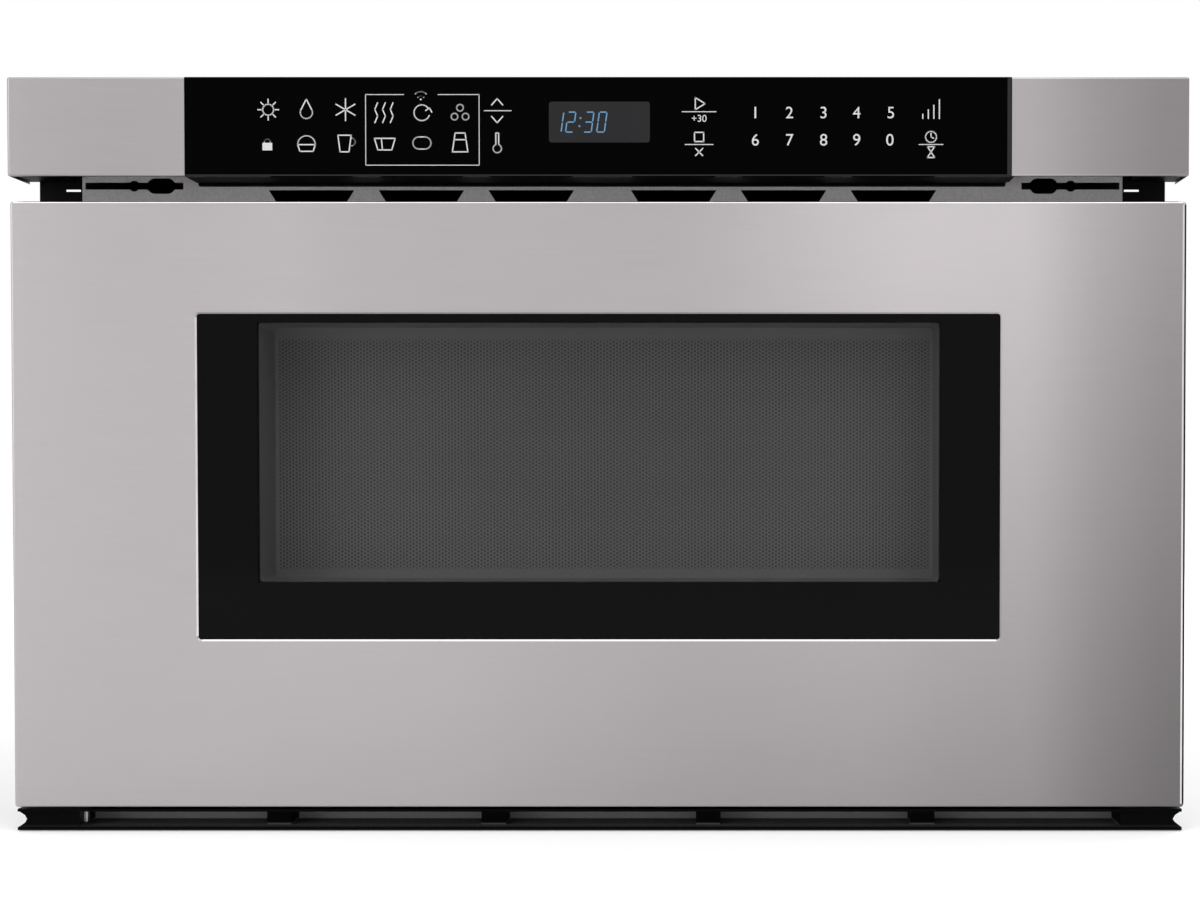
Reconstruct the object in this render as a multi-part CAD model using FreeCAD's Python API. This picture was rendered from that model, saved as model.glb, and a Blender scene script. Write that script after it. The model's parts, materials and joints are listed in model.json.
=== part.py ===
import FreeCAD, Part
import math
import os

# Built-in microwave drawer. Millimetres. X runs to the right, Y from the front to the back, Z up.
# Everything is drawn with y = 0 at the drawer's face, and moved back by half the depth when it is written.

V = FreeCAD.Vector
ALONG_X, ALONG_Y, ALONG_Z = V(1, 0, 0), V(0, 1, 0), V(0, 0, 1)

# Overall
overall_width = 606.4
overall_height = 388.0
overall_depth = 593.7
case_width = 549.0
case_drop = 16.0
case_sheet = 1.2
case_flange = 13.0
gland_reach = 6.0
fit = 0.3
running_gap = 0.4

# Front: control panel, drawer front and the gaps round them
front_stand = 32.0
panel_height = 50.8
panel_gap = 12.8
base_gap = 12.4
drawer_reveal = 1.2
closing_gap = 2.0
skin = 1.0
skin_corner = 1.6
skin_edge = 1.2
panel_edge = 1.2

# Control panel
glass_width = 424.4
glass_thickness = 3.2
housing_wall = 2.5
drip_height = 1.2
drip_depth = 4.0
board_depth = 14.0
board_thickness = 1.6
cap_block = 24.0
board_margin = 10.0
board_boss = 4.0
chip_size = 16.0
chip_height = 2.5
plug_length = 28.0
plug_height = 8.0
display_width = 53.0
display_height = 22.0
display_rise = 2.0

# Window in the drawer front
window_width = 415.0
window_top_margin = 56.7
window_bottom = 98.3
window_bevel = 0.8
window_lap = 7.0
screen_width = 351.2
screen_top_margin = 61.9
screen_bottom = 128.7
screen_corner = 3.0
screen_depth = 43.0
screen_sheet = 0.6
screen_flange = 6.0
moulding = 2.5
rib_pitch = 60.0

# Cavity, tub and choke
tub_width = 435.0
rear_room = 106.3
tub_top_margin = 54.4
tub_floor = 90.0
tub_sheet = 0.8
tub_corner = 8.0
tub_rim = 2.5
side_clearance = 7.7
floor_clearance = 6.0
top_clearance = 6.0
back_clearance = 12.0
cavity_sheet = 0.8
choke_overlap = 18.0
choke_depth = 12.0
choke_lip = 5.0
choke_slot = 4.0
choke_pitch = 48.0
ceramic_thickness = 5.0
ceramic_corner = 14.0
glide_width = 22.0
glide_length = 40.0
glide_inset = 30.0

# Slides and arms under the cavity
travel_reserve = 39.0
slide_overlap = 70.0
slide_width = 12.7
slide_height = 40.0
slide_bottom = 22.0
slide_steel = 1.5
slide_room = 17.6
slide_start = 3.0
arm_steel = 2.0
arm_spare = 8.0
arm_height = 36.0
arm_flange = 13.0
slot_room = 2.5
bracket_steel = 1.5

# Drive: gear motor, cross shaft, two pinions and two racks
rack_module = 3.0
lead_teeth = 3
rack_width = 11.0
rack_back = 8.0
pinion_teeth = 12
pinion_width = 10.0
drive_depth = 62.0
drive_height = 28.0
gear_module = 1.5
gear_teeth = 24
motor_teeth = 12
gear_width = 8.0
gear_inset = 13.0
backlash = 0.15
pressure_angle = math.radians(20)
addendum = 0.7
dedendum = 1.0
shaft_radius = 4.0
shaft_play = 0.5
bush_radius = 7.0
bush_length = 9.0
bush_inset = 28.0
bearing_gap = 0.1
drive_steel = 2.0
motor_radius = 17.0
motor_length = 52.0
gearbox_width = 40.0
gearbox_height = 42.0
stub_radius = 3.0
stub_reach = 14.0
motor_boss = 4.0

# Front frame cut-outs
vent_width = 45.3
vent_height = 9.4
vent_drop = 2.9
vent_taper = 6.0
vent_pitch = 58.0
vent_first = 37.6
vents_each_side = 3
key_drop = 0.8
key_inset = 1.5
key_length = 51.8
key_oval_inset = 40.1
key_oval_width = 15.0
key_oval_height = 8.2
key_stem_height = 3.7
key_ball_inset = 25.8
key_ball_size = 6.2
flange_width = 22.5
flange_leg = 26.0
flange_bottom = 12.4
hole_radius = 2.5
hole_inset = 13.5
hole_spacing = 200.0
slit_width = 8.0
slit_height = 1.2
slit_drop = 3.2
slit_inset = 0.8

# Lower grille
lip_thickness = 1.5
lip_front = 3.0
lip_inset = 0.4
grille_front = 12.0
grille_opening = 8.1
grille_top = 1.4
grille_rib = 12.7
grille_pitch = 112.0
grille_block = 31.5
block_inset = 4.2
block_front = 5.0

# Microwave feed
dome_radius = 98.0
dome_draft = 9.0
dome_height = 16.0
dome_sides = 24
feed_radius = 30.0
guide_width = 92.0
guide_height = 40.0
guide_sheet = 1.0
cover_lap = 8.0
cover_thickness = 2.0
stirrer_clearance = 5.0
stirrer_blades = 3
stirrer_sheet = 1.0
stirrer_motor_radius = 24.0
stirrer_motor_height = 18.0
stirrer_ear_width = 14.0
stirrer_tilt = 12.0
magnetron_width = 84.0
magnetron_length = 74.0
magnetron_height = 76.0
antenna_radius = 7.5
antenna_height = 24.0
yoke_sheet = 2.0
fins = 5
fin_sheet = 0.8

# Rear compartment
transformer_width = 96.0
transformer_length = 62.0
transformer_height = 80.0
transformer_place = -150.0
coil_overhang = 14.0
capacitor_length = 92.0
capacitor_width = 34.0
capacitor_height = 54.0
capacitor_place = -30.0
strap_width = 20.0
strap_reach = 14.0
terminal_size = 4.0
terminal_length = 12.0
fan_place = 175.0
fan_level = 140.0
fan_radius = 60.0
fan_gap = 4.0
throat_sides = 24
fan_frame = 148.0
fan_depth = 28.0
fan_blades = 5
fan_motor_size = 58.0
fan_motor_length = 34.0
strut_width = 9.0
strut_depth = 2.5
winding_drop = 12.0
impeller_front = 5.0
impeller_back = 4.0
blade_sheet = 1.6
blade_pitch = 22.0
side_slots = 4
side_slot_length = 54.0
side_slot_height = 3.0
side_slot_inset = 30.0
side_slot_level = 0.62
side_slot_pitch = 30.0
rear_slot_width = 46.0
rear_slot_height = 4.0
rear_slot_pitch = 12.0
rear_slots = 8
gland_place = -235.0
gland_drop = 37.0
gland_radius = 9.0
gland_bore = 4.2
gland_flange = 13.0
filter_gap = 12.0
filter_length = 70.0
filter_height = 54.0
filter_drop = 30.0
filter_stand = 8.0
filter_post = 2.8
filter_coil = 16.0

# Ducts, boards and lamp above the cavity
duct_room = 5.0
duct_height = 20.0
dome_gap = 4.0
duct_wall = 1.5
duct_drop_width = 120.0
duct_drop_length = 40.0
tray_width = 120.0
tray_length = 200.0
tray_leg = 8.0
relays = 3
relay_width = 20.0
relay_length = 16.0
relay_height = 18.0
relay_pitch = 24.0
supply_width = 42.0
supply_length = 38.0
supply_height = 30.0
board_can_radius = 8.0
board_can_height = 26.0
board_edge = 10.0
lamp_place = 150.0
lamp_setback = 80.0
lamp_width = 44.0
lamp_height = 34.0
lamp_radius = 12.0
lamp_tab_length = 14.0
lamp_tab_width = 16.0

# Interlocks
finger_inset = 9.0
finger_rise = 13.0
finger_width = 5.0
finger_height = 9.0
finger_length = 12.0
finger_pad = 2.0
switch_flange = 12.0
switch_width = 12.0
switch_height = 20.0
switch_length = 28.0
plunger_size = 4.4
plunger_reach = 5.0
plunger_travel = 1.2

# Places that follow from the sizes above
half_width = overall_width / 2
case_height = overall_height - case_drop
case_half = case_width / 2
case_inner = case_half - case_sheet
case_back = overall_depth - gland_reach
frame_back = front_stand + case_sheet
back_inner = case_back - case_sheet
panel_bottom = overall_height - panel_height
glass_half = glass_width / 2
drawer_top = panel_bottom - panel_gap
drawer_half = half_width - drawer_reveal
drawer_back = front_stand - closing_gap
window_half = window_width / 2
window_top = drawer_top - window_top_margin
screen_half = screen_width / 2
lip_half = drawer_half - lip_inset
vent_top = panel_bottom - vent_drop
vent_level = vent_top - vent_height / 2
slit_level = panel_bottom - slit_drop
key_level = panel_bottom - key_drop
key_end = case_half - key_inset
hole_place = case_half + hole_inset
hole_middle = case_height / 2
gland_level = case_height - gland_drop
screen_top = drawer_top - screen_top_margin
glass_back = skin + glass_thickness
tub_half = tub_width / 2 + tub_sheet
tub_top = drawer_top - tub_top_margin
tub_front = screen_depth + screen_sheet
inner_glass_front = tub_front + tub_sheet
tub_inside = inner_glass_front + glass_thickness
cavity_back = back_inner - cavity_sheet - rear_room
tub_back = cavity_back - back_clearance
travel = tub_back - tub_sheet - tub_inside - travel_reserve
dome_depth = cavity_back / 2
tray_front = dome_depth - tray_length / 4
lamp_depth = dome_depth + lamp_setback
cavity_half = tub_half + side_clearance
cavity_floor = tub_floor - floor_clearance
cavity_top = tub_top + top_clearance
cavity_roof = cavity_top + cavity_sheet
dome_roof = cavity_top + dome_height + cavity_sheet
guide_roof = dome_roof + guide_height
choke_half = cavity_half + choke_overlap
choke_bottom = cavity_floor - choke_overlap
choke_top = cavity_top + choke_overlap
choke_front = drawer_back - choke_depth
finger_place = choke_half - finger_inset
finger_level = choke_top + finger_rise
rear_middle = (cavity_back + cavity_sheet + back_inner) / 2
guide_front = dome_depth - guide_width / 2
guide_end = rear_middle + magnetron_length / 2
duct_half = vent_first + (vents_each_side - 1) * vent_pitch + vent_width / 2 + duct_wall + duct_room
duct_end = dome_depth - dome_radius - dome_gap
tray_place = -(dome_radius + dome_gap + tray_width / 2)
slide_length = travel + slide_overlap
slide_outer_half = case_inner - slide_room
slide_inner_half = slide_outer_half - slide_width
slide_top = slide_bottom + slide_height
slide_front = frame_back + slide_start
slide_middle_level = (slide_bottom + slide_top) / 2
arm_bottom = slide_middle_level - arm_height / 2
arm_top = slide_middle_level + arm_height / 2
arm_inner = slide_inner_half - arm_steel
slot_inner = arm_inner - arm_flange - slot_room
slot_outer = slide_outer_half + slot_room
slot_bottom = min(arm_bottom, slide_bottom) - slot_room
slot_top = max(arm_top, slide_top) + slot_room
bush_place = arm_inner - bush_inset
gear_place = bush_place - gear_inset
rack_pitch = math.pi * rack_module
rack_teeth = math.ceil(travel / rack_pitch) + lead_teeth + 1
rack_start = drive_depth - rack_pitch * lead_teeth
arm_back = rack_start + rack_pitch * rack_teeth + arm_spare
pitch_radius = rack_module * pinion_teeth / 2
gear_radius = gear_module * gear_teeth / 2
motor_gear_radius = gear_module * motor_teeth / 2
rack_pitch_line = drive_height + pitch_radius
motor_depth = drive_depth + gear_radius + motor_gear_radius
shaft_half = arm_inner - shaft_play
finger_tip = drawer_back + finger_length
SIDES = (("left", -1), ("right", 1))


def box(x0, x1, y0, y1, z0, z1):
    """A block between two opposite corners."""
    return Part.makeBox(x1 - x0, y1 - y0, z1 - z0, V(x0, y0, z0))


def straight_edges(solid, axis):
    """The straight edges of a solid that run along an axis."""
    found = []
    for edge in solid.Edges:
        if isinstance(edge.Curve, Part.Line) and edge.Curve.Direction.cross(axis).Length < 1e-6:
            found.append(edge)
    return found


def round_box(x0, x1, y0, y1, z0, z1, radius, axis=ALONG_Y):
    """A block whose edges along one axis are rounded."""
    block = box(x0, x1, y0, y1, z0, z1)
    return block.makeFillet(radius, straight_edges(block, axis))


def prism(sides, radius, length, x, y, z, axis):
    """A bar with a regular many-sided section, for a hidden core or a faceted can."""
    points = []
    for n in range(sides):
        angle = 2 * math.pi * (n + 0.5) / sides
        points.append(V(radius * math.cos(angle), radius * math.sin(angle), 0))
    bar = extrude(points, ALONG_Z, length)
    bar.Placement = FreeCAD.Placement(V(x, y, z), FreeCAD.Rotation(ALONG_Z, axis))
    return bar


def frustum(sides, low_radius, high_radius, height, x, y, z):
    """An upright many-sided form that narrows towards its top."""
    rings = []
    for radius, level in ((low_radius, z), (high_radius, z + height)):
        points = []
        for n in range(sides):
            angle = 2 * math.pi * n / sides
            points.append(V(x + radius * math.cos(angle), y + radius * math.sin(angle), level))
        rings.append(Part.makePolygon(points + [points[0]]))
    return Part.makeLoft(rings, True, True)


def rod(radius, length, x, y, z, axis):
    """A round bar that starts at a point and runs along an axis."""
    return Part.makeCylinder(radius, length, V(x, y, z), axis)


def obround(x, width, height, y0, y1, z):
    """A bar along Y with two half-round ends, centred at x and z."""
    end = height / 2
    left, right = x - width / 2 + end, x + width / 2 - end
    outline = Part.Wire([
        Part.LineSegment(V(left, y0, z - end), V(right, y0, z - end)).toShape(),
        Part.Arc(V(right, y0, z - end), V(right + end, y0, z), V(right, y0, z + end)).toShape(),
        Part.LineSegment(V(right, y0, z + end), V(left, y0, z + end)).toShape(),
        Part.Arc(V(left, y0, z + end), V(left - end, y0, z), V(left, y0, z - end)).toShape(),
    ])
    return Part.Face(outline).extrude(V(0, y1 - y0, 0))


def extrude(points, axis, length):
    """A prism from a closed outline of points."""
    outline = Part.makePolygon(points + [points[0]])
    return Part.Face(outline).extrude(axis * length)


def fuse(shapes):
    """One solid from shapes that touch or overlap, with its faces merged."""
    whole = shapes[0].fuse(shapes[1:]) if len(shapes) > 1 else shapes[0]
    return whole.removeSplitter()


def carve(shape, tools):
    """A shape less a list of tools."""
    return shape.cut(Part.makeCompound(tools))


def mirrored(shape):
    """The same piece for the other side of the object."""
    return shape.mirror(V(0, 0, 0), ALONG_X)


def on_side(shape, sign):
    """A piece drawn for the right-hand side, put on the side that the sign gives."""
    return shape if sign > 0 else mirrored(shape)


def both_sides(shape):
    """A piece drawn for the right-hand side, and its twin."""
    return [mirrored(shape), shape]


def front_edges(solid, y, x_limit=None, z_low=None, z_high=None):
    """The edges that lie in the plane at depth y, within limits if any are given."""
    found = []
    for edge in solid.Edges:
        bounds = edge.BoundBox
        if abs(bounds.YMin - y) > 1e-4 or abs(bounds.YMax - y) > 1e-4:
            continue
        if x_limit and max(abs(bounds.XMin), abs(bounds.XMax)) > x_limit:
            continue
        if z_low and (bounds.ZMin < z_low or bounds.ZMax > z_high):
            continue
        found.append(edge)
    return found


# ---------------------------------------------------------------- case


def make_base_plate():
    """The bottom of the case, a pan with upturned flanges at its sides and back."""
    floor = box(-case_inner, case_inner, frame_back, back_inner, 0, case_sheet)
    inner = case_inner - case_sheet
    back = back_inner - case_sheet
    edges = [
        box(inner, case_inner, frame_back, back_inner, 0, case_flange),
        box(-case_inner, -inner, frame_back, back_inner, 0, case_flange),
        box(-case_inner, case_inner, back, back_inner, 0, case_flange),
    ]
    return fuse([floor] + edges)


def make_top_panel():
    """The lid of the case, with flanges turned down inside the sides and the rear."""
    under = case_height - case_sheet
    low = case_height - case_flange
    inner = case_inner - case_sheet
    back = back_inner - case_sheet
    return fuse([
        box(-case_half, case_half, frame_back, case_back, under, case_height),
        box(inner, case_inner, frame_back, back_inner, low, case_height),
        box(-case_inner, -inner, frame_back, back_inner, low, case_height),
        box(-case_inner, case_inner, back, back_inner, low, case_height),
    ])


def make_side_panel():
    """The right-hand side of the case, a flat sheet with slots near the back."""
    under = case_height - case_sheet
    sheet = box(case_inner, case_half, frame_back, back_inner, 0, under)
    y1 = back_inner - side_slot_inset
    slots = []
    for row in range(side_slots):
        z = under * side_slot_level + row * side_slot_pitch
        slots.append(box(case_inner - 1, case_half + 1, y1 - side_slot_length, y1, z, z + side_slot_height))
    return carve(sheet, slots)


def make_rear_panel():
    """The back of the case, with the fan's slots, other vent slots and the cord's outlet."""
    sheet = box(-case_half, case_half, back_inner, case_back, 0, case_height - case_sheet)
    tools = []
    first = fan_level - rear_slot_pitch * (rear_slots - 1) / 2
    columns = [fan_place - rear_slot_width * 0.6, fan_place + rear_slot_width * 0.6, transformer_place]
    for x in columns:
        for row in range(rear_slots):
            z = first + row * rear_slot_pitch
            tools.append(box(x - rear_slot_width / 2, x + rear_slot_width / 2, back_inner - 1,
                             case_back + 1, z - rear_slot_height / 2, z + rear_slot_height / 2))
    tools.append(prism(8, gland_radius, case_sheet + 2, gland_place, back_inner - 1, gland_level, ALONG_Y))
    return carve(sheet, tools)


def make_cord_gland():
    """The bush that the supply cord leaves by; the cord is not part of the object shown."""
    start = case_back - case_sheet * 4
    body = prism(8, gland_radius - fit / 2, case_sheet * 4, gland_place, start, gland_level, ALONG_Y)
    flange = prism(8, gland_flange, gland_reach, gland_place, case_back, gland_level, ALONG_Y)
    flange = flange.makeChamfer(gland_reach * 0.4, front_edges(flange, case_back + gland_reach))
    bore = rod(gland_bore, gland_reach + case_sheet * 4 + 2, gland_place, start - 1, gland_level, ALONG_Y)
    return fuse([body, flange]).cut(bore)


# ---------------------------------------------------------------- front frame


def key_slot(y0, y1):
    """The key-shaped slot that hooks over a screw: an oval head, a round stop and a long stem."""
    stem = key_stem_height / 2
    return fuse([
        obround(key_end - key_oval_inset, key_oval_width, key_oval_height, y0, y1, key_level),
        prism(8, key_ball_size / 2, y1 - y0, key_end - key_ball_inset, y0, key_level, ALONG_Y),
        box(key_end - key_length, key_end, y0, y1, key_level - stem, key_level + stem),
    ])


def vent_slot(x, y0, y1):
    """A vent in the frame plate, straight above and narrower towards its bottom."""
    half = vent_width / 2
    low = vent_top - vent_height
    corners = [V(x - half, y0, vent_top), V(x + half, y0, vent_top), V(x + half - vent_taper, y0, low),
               V(x - half + vent_taper, y0, low)]
    return extrude(corners, ALONG_Y, y1 - y0)


def make_front_frame():
    """The plate behind the drawer front: one opening for the tub, two for the arms, vents and key slots."""
    y0, y1 = front_stand - 1, frame_back + 1
    plate = box(-case_half, case_half, front_stand, frame_back, 0,
                overall_height - skin - fit - housing_wall)
    tools = [box(-cavity_half, cavity_half, y0, y1, cavity_floor, cavity_top)]
    tools += both_sides(box(slot_inner, slot_outer, y0, y1, slot_bottom, slot_top))
    tools += both_sides(key_slot(y0, y1))
    finger = box(finger_place - finger_width, finger_place + finger_width, y0, y1,
                 finger_level - finger_height / 2 - slot_room, finger_level + finger_height / 2 + slot_room)
    tools += both_sides(finger)
    for n in range(vents_each_side):
        x = vent_first + n * vent_pitch
        tools += both_sides(vent_slot(x, y0, y1))
    return carve(plate, tools)


def make_mounting_flange():
    """The right-hand angle that is screwed to the cabinet beside the opening."""
    outer = case_half + flange_width
    top = case_height
    front = box(case_half, outer, front_stand, frame_back, flange_bottom, top)
    leg = box(case_half, case_half + case_sheet, front_stand, frame_back + flange_leg, flange_bottom, top)
    angle = fuse([front, leg])
    tools = []
    for step in (-0.5, 0.5):
        z = hole_middle + step * hole_spacing
        tools.append(rod(hole_radius, case_sheet + 2, hole_place, front_stand - 1, z, ALONG_Y))
    slit = case_half + slit_inset
    tools.append(box(slit, slit + slit_width, front_stand - 1, frame_back + 1,
                     slit_level - slit_height / 2, slit_level + slit_height / 2))
    return carve(angle, tools)


def make_lower_grille():
    """The black moulding under the drawer front: a lip, ribs, a top bar and waisted end blocks."""
    opening_top = lip_thickness + grille_opening
    top = opening_top + grille_top
    parts = [
        box(-lip_half, lip_half, lip_front, front_stand, 0, lip_thickness),
        box(-lip_half, lip_half, lip_front, front_stand, opening_top, top),
    ]
    for n in range(4):
        x = (n - 1.5) * grille_pitch
        parts.append(box(x - grille_rib / 2, x + grille_rib / 2, grille_front, front_stand, 0, top))
    waist = lip_half - block_inset
    bend = block_inset / 2
    profile = [
        (lip_half - grille_block, lip_thickness), (lip_half, lip_thickness),
        (waist + bend / 2, lip_thickness + bend), (waist, lip_thickness + grille_opening / 2),
        (waist + bend / 2, opening_top - bend), (lip_half, opening_top),
        (lip_half - grille_block, opening_top),
    ]
    end = extrude([V(x, block_front, z) for x, z in profile], ALONG_Y, front_stand - block_front)
    parts += both_sides(end)
    return fuse(parts)


# ---------------------------------------------------------------- cavity and microwave feed


def make_cavity_liner():
    """The fixed steel cavity: a box open at the front, with a dome in its roof for the stirrer."""
    outer = box(-cavity_half - cavity_sheet, cavity_half + cavity_sheet, frame_back,
                cavity_back + cavity_sheet, cavity_floor - cavity_sheet, cavity_roof)
    inner = box(-cavity_half, cavity_half, frame_back - 1, cavity_back, cavity_floor, cavity_top)
    top_radius = dome_radius - dome_draft
    dome_outer = frustum(dome_sides, dome_radius + cavity_sheet, top_radius + cavity_sheet,
                         dome_height + cavity_sheet, 0, dome_depth, cavity_top)
    dome_inner = frustum(dome_sides, dome_radius, top_radius, dome_height, 0, dome_depth, cavity_top)
    feed = prism(dome_sides, feed_radius, dome_height * 3, 0, dome_depth, cavity_top, ALONG_Z)
    return carve(outer.fuse(dome_outer), [inner, dome_inner, feed]).removeSplitter()


def make_stirrer_cover():
    """The plate that keeps food off the stirrer, pressed up against the roof."""
    return prism(dome_sides, dome_radius + cover_lap, cover_thickness, 0, dome_depth,
                 cavity_top - cover_thickness, ALONG_Z)


def make_stirrer_blade():
    """The turning fan of thin blades, on a shaft that runs up through the guide into its motor."""
    low = cavity_top + dome_height * 0.35
    shaft_top = guide_roof + stirrer_motor_height * 0.5
    parts = [
        prism(8, stub_radius, shaft_top - low, 0, dome_depth, low, ALONG_Z),
        prism(6, stub_radius * 3, dome_height * 0.3, 0, dome_depth, low, ALONG_Z),
    ]
    stirrer_radius = dome_radius - dome_draft - stirrer_clearance
    width = stirrer_radius * 0.34
    for n in range(stirrer_blades):
        blade = box(0, stirrer_radius, -width / 2, width / 2, -stirrer_sheet / 2, stirrer_sheet / 2)
        blade.rotate(V(0, 0, 0), ALONG_X, stirrer_tilt)
        blade.translate(V(0, 0, low + dome_height * 0.15))
        blade.rotate(V(0, 0, 0), ALONG_Z, n * 360 / stirrer_blades)
        blade.translate(V(0, dome_depth, 0))
        parts.append(blade)
    return fuse(parts)


def make_waveguide():
    """The rectangular duct from the magnetron to the dome."""
    half = guide_width / 2
    outer = box(-half, half, guide_front, guide_end, dome_roof, guide_roof)
    inner = box(-half + guide_sheet, half - guide_sheet, guide_front + guide_sheet, guide_end - guide_sheet,
                dome_roof + guide_sheet, guide_roof - guide_sheet)
    feed = prism(dome_sides, feed_radius, guide_sheet * 3, 0, dome_depth, dome_roof - guide_sheet, ALONG_Z)
    shaft = prism(8, stub_radius + 1, guide_sheet * 3, 0, dome_depth, guide_roof - guide_sheet * 2, ALONG_Z)
    antenna = prism(8, antenna_radius + 2, guide_sheet * 3, 0, rear_middle, dome_roof - guide_sheet,
                    ALONG_Z)
    return carve(outer, [inner, feed, shaft, antenna])


def make_stirrer_motor():
    """The flat synchronous motor on top of the guide, with two ears."""
    can = prism(16, stirrer_motor_radius, stirrer_motor_height, 0, dome_depth, guide_roof, ALONG_Z)
    reach = stirrer_motor_radius * 1.5
    ear = box(-reach, reach, dome_depth - stirrer_ear_width / 2, dome_depth + stirrer_ear_width / 2,
              guide_roof, guide_roof + case_sheet)
    bore = rod(stub_radius + bearing_gap, stirrer_motor_height * 0.6, 0, dome_depth, guide_roof - 0.01,
               ALONG_Z)
    return fuse([can, ear]).cut(bore)


def make_magnetron():
    """The magnetron hung under the guide: yoke, cooling fins, filter box and antenna."""
    half, reach = magnetron_width / 2, magnetron_length / 2
    low = dome_roof - magnetron_height
    y0, y1 = rear_middle - reach, rear_middle + reach
    wall = yoke_sheet
    parts = [
        box(-half, half, y0, y1, dome_roof - wall, dome_roof),
        box(-half, half, y0, y1, low, low + wall),
        box(-half, -half + wall, y0, y1, low, dome_roof),
        box(half - wall, half, y0, y1, low, dome_roof),
        prism(8, magnetron_length * 0.27, magnetron_height, 0, rear_middle, low, ALONG_Z),
        prism(8, antenna_radius, antenna_height, 0, rear_middle, dome_roof, ALONG_Z),
        box(-half * 0.6, half * 0.6, y0 + wall, y1 - wall, low - magnetron_height * 0.3, low),
    ]
    pitch = (magnetron_height - wall * 2) / (fins + 1)
    for n in range(fins):
        z = low + wall + pitch * (n + 1)
        parts.append(box(-half + wall, half - wall, y0 + wall, y1 - wall, z, z + fin_sheet))
    return fuse(parts)


# ---------------------------------------------------------------- rear compartment


def make_transformer():
    """The high-voltage transformer: a laminated core on a foot plate, with two windings."""
    half, reach = transformer_width / 2, transformer_length / 2
    x0, x1 = transformer_place - half, transformer_place + half
    y0, y1 = rear_middle - reach, rear_middle + reach
    foot = box(x0 - coil_overhang / 2, x1 + coil_overhang / 2, y0, y1, case_sheet, case_sheet * 2.5)
    core_low = case_sheet * 2.5
    core = box(x0, x1, y0, y1, core_low, core_low + transformer_height)
    third = transformer_height * 0.36
    parts = [foot, core]
    for z in (core_low + transformer_height * 0.12, core_low + transformer_height * 0.52):
        coil = box(x0 + half * 0.35, x1 - half * 0.35, y0 - coil_overhang, y1 + coil_overhang, z, z + third)
        parts.append(coil.makeChamfer(coil_overhang * 0.5, straight_edges(coil, ALONG_Z)))
    return fuse(parts)


def make_capacitor():
    """The high-voltage capacitor: an oval can lying in a saddle bracket, with two terminals."""
    x0 = capacitor_place - capacitor_length / 2
    low = case_sheet + bracket_steel
    y0 = rear_middle - capacitor_width / 2
    can = box(x0, x0 + capacitor_length, y0, y0 + capacitor_width, low, low + capacitor_height)
    can = can.makeChamfer(capacitor_width * 0.3, straight_edges(can, ALONG_X))
    left, right = capacitor_place - strap_width / 2, capacitor_place + strap_width / 2
    strap = box(left, right, y0 - bracket_steel, y0 + capacitor_width + bracket_steel, case_sheet,
                low + capacitor_height + bracket_steel)
    foot = box(left, right, y0 - strap_reach, y0 + capacitor_width + strap_reach, case_sheet,
               case_sheet + bracket_steel)
    parts = [can, strap, foot]
    for step in (-0.25, 0.25):
        y = rear_middle + step * capacitor_width
        parts.append(prism(4, terminal_size, terminal_length, x0 + capacitor_length, y,
                           low + capacitor_height / 2, ALONG_X))
    return fuse(parts)


def make_fan_shroud():
    """The square fan frame on the rear panel, with the struts that carry the motor."""
    half = fan_frame / 2
    y0 = back_inner - fan_depth
    frame = box(fan_place - half, fan_place + half, y0, back_inner, fan_level - half, fan_level + half)
    throat = prism(throat_sides, fan_radius + fan_gap, fan_depth + 2, fan_place, y0 - 1, fan_level, ALONG_Y)
    ring = frame.cut(throat)
    struts = []
    for n in range(4):
        strut = box(fan_motor_size * 0.3, half * 1.05, y0, y0 + strut_depth, -strut_width / 2,
                    strut_width / 2)
        strut.rotate(V(0, 0, 0), ALONG_Y, 45 + n * 90)
        strut.translate(V(fan_place, 0, fan_level))
        struts.append(strut)
    hub = prism(8, fan_motor_size * 0.42, strut_depth, fan_place, y0, fan_level, ALONG_Y)
    whole = fuse([ring, hub] + struts)
    return whole.cut(prism(8, stub_radius + 2, fan_depth, fan_place, y0 - 1, fan_level, ALONG_Y))


def make_fan_motor():
    """The shaded-pole motor in front of the fan frame: a stack, a winding and end bells."""
    y1 = back_inner - fan_depth
    y0 = y1 - fan_motor_length
    half = fan_motor_size / 2
    third = fan_motor_length / 3
    parts = [
        box(fan_place - half, fan_place + half, y0 + third, y1 - third, fan_level - half, fan_level + half),
        prism(12, half * 0.72, fan_motor_length, fan_place, y0, fan_level, ALONG_Y),
        box(fan_place - half * 0.7, fan_place + half * 0.7, y0 + third * 0.5, y1 - third * 0.5,
            fan_level - half - winding_drop, fan_level - half * 0.6),
    ]
    bore = rod(stub_radius + bearing_gap, fan_motor_length * 0.5, fan_place, y1 - fan_motor_length * 0.4,
               fan_level, ALONG_Y)
    return fuse(parts).cut(bore)


def make_fan_impeller():
    """The axial fan: a hub with pitched blades and the shaft that enters its motor."""
    y0 = back_inner - fan_depth + impeller_front
    depth = fan_depth - impeller_front - impeller_back
    shaft = impeller_front + fan_motor_length * 0.35
    hub_radius = fan_radius * 0.3
    parts = [
        prism(10, hub_radius, depth, fan_place, y0, fan_level, ALONG_Y),
        prism(8, stub_radius, shaft, fan_place, y0 - shaft, fan_level, ALONG_Y),
    ]
    chord = fan_radius * 0.72
    for n in range(fan_blades):
        blade = box(-chord / 2, chord / 2, -blade_sheet / 2, blade_sheet / 2, hub_radius * 0.6, fan_radius)
        blade = blade.makeChamfer(chord * 0.2, [
            e for e in straight_edges(blade, ALONG_Y) if e.BoundBox.ZMin > hub_radius])
        blade.rotate(V(0, 0, 0), ALONG_Z, blade_pitch)
        blade.translate(V(0, y0 + depth / 2, 0))
        blade.rotate(V(0, 0, 0), ALONG_Y, n * 360 / fan_blades)
        blade.translate(V(fan_place, 0, fan_level))
        parts.append(blade)
    return fuse(parts)


# ---------------------------------------------------------------- ducts, boards, lamp


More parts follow.
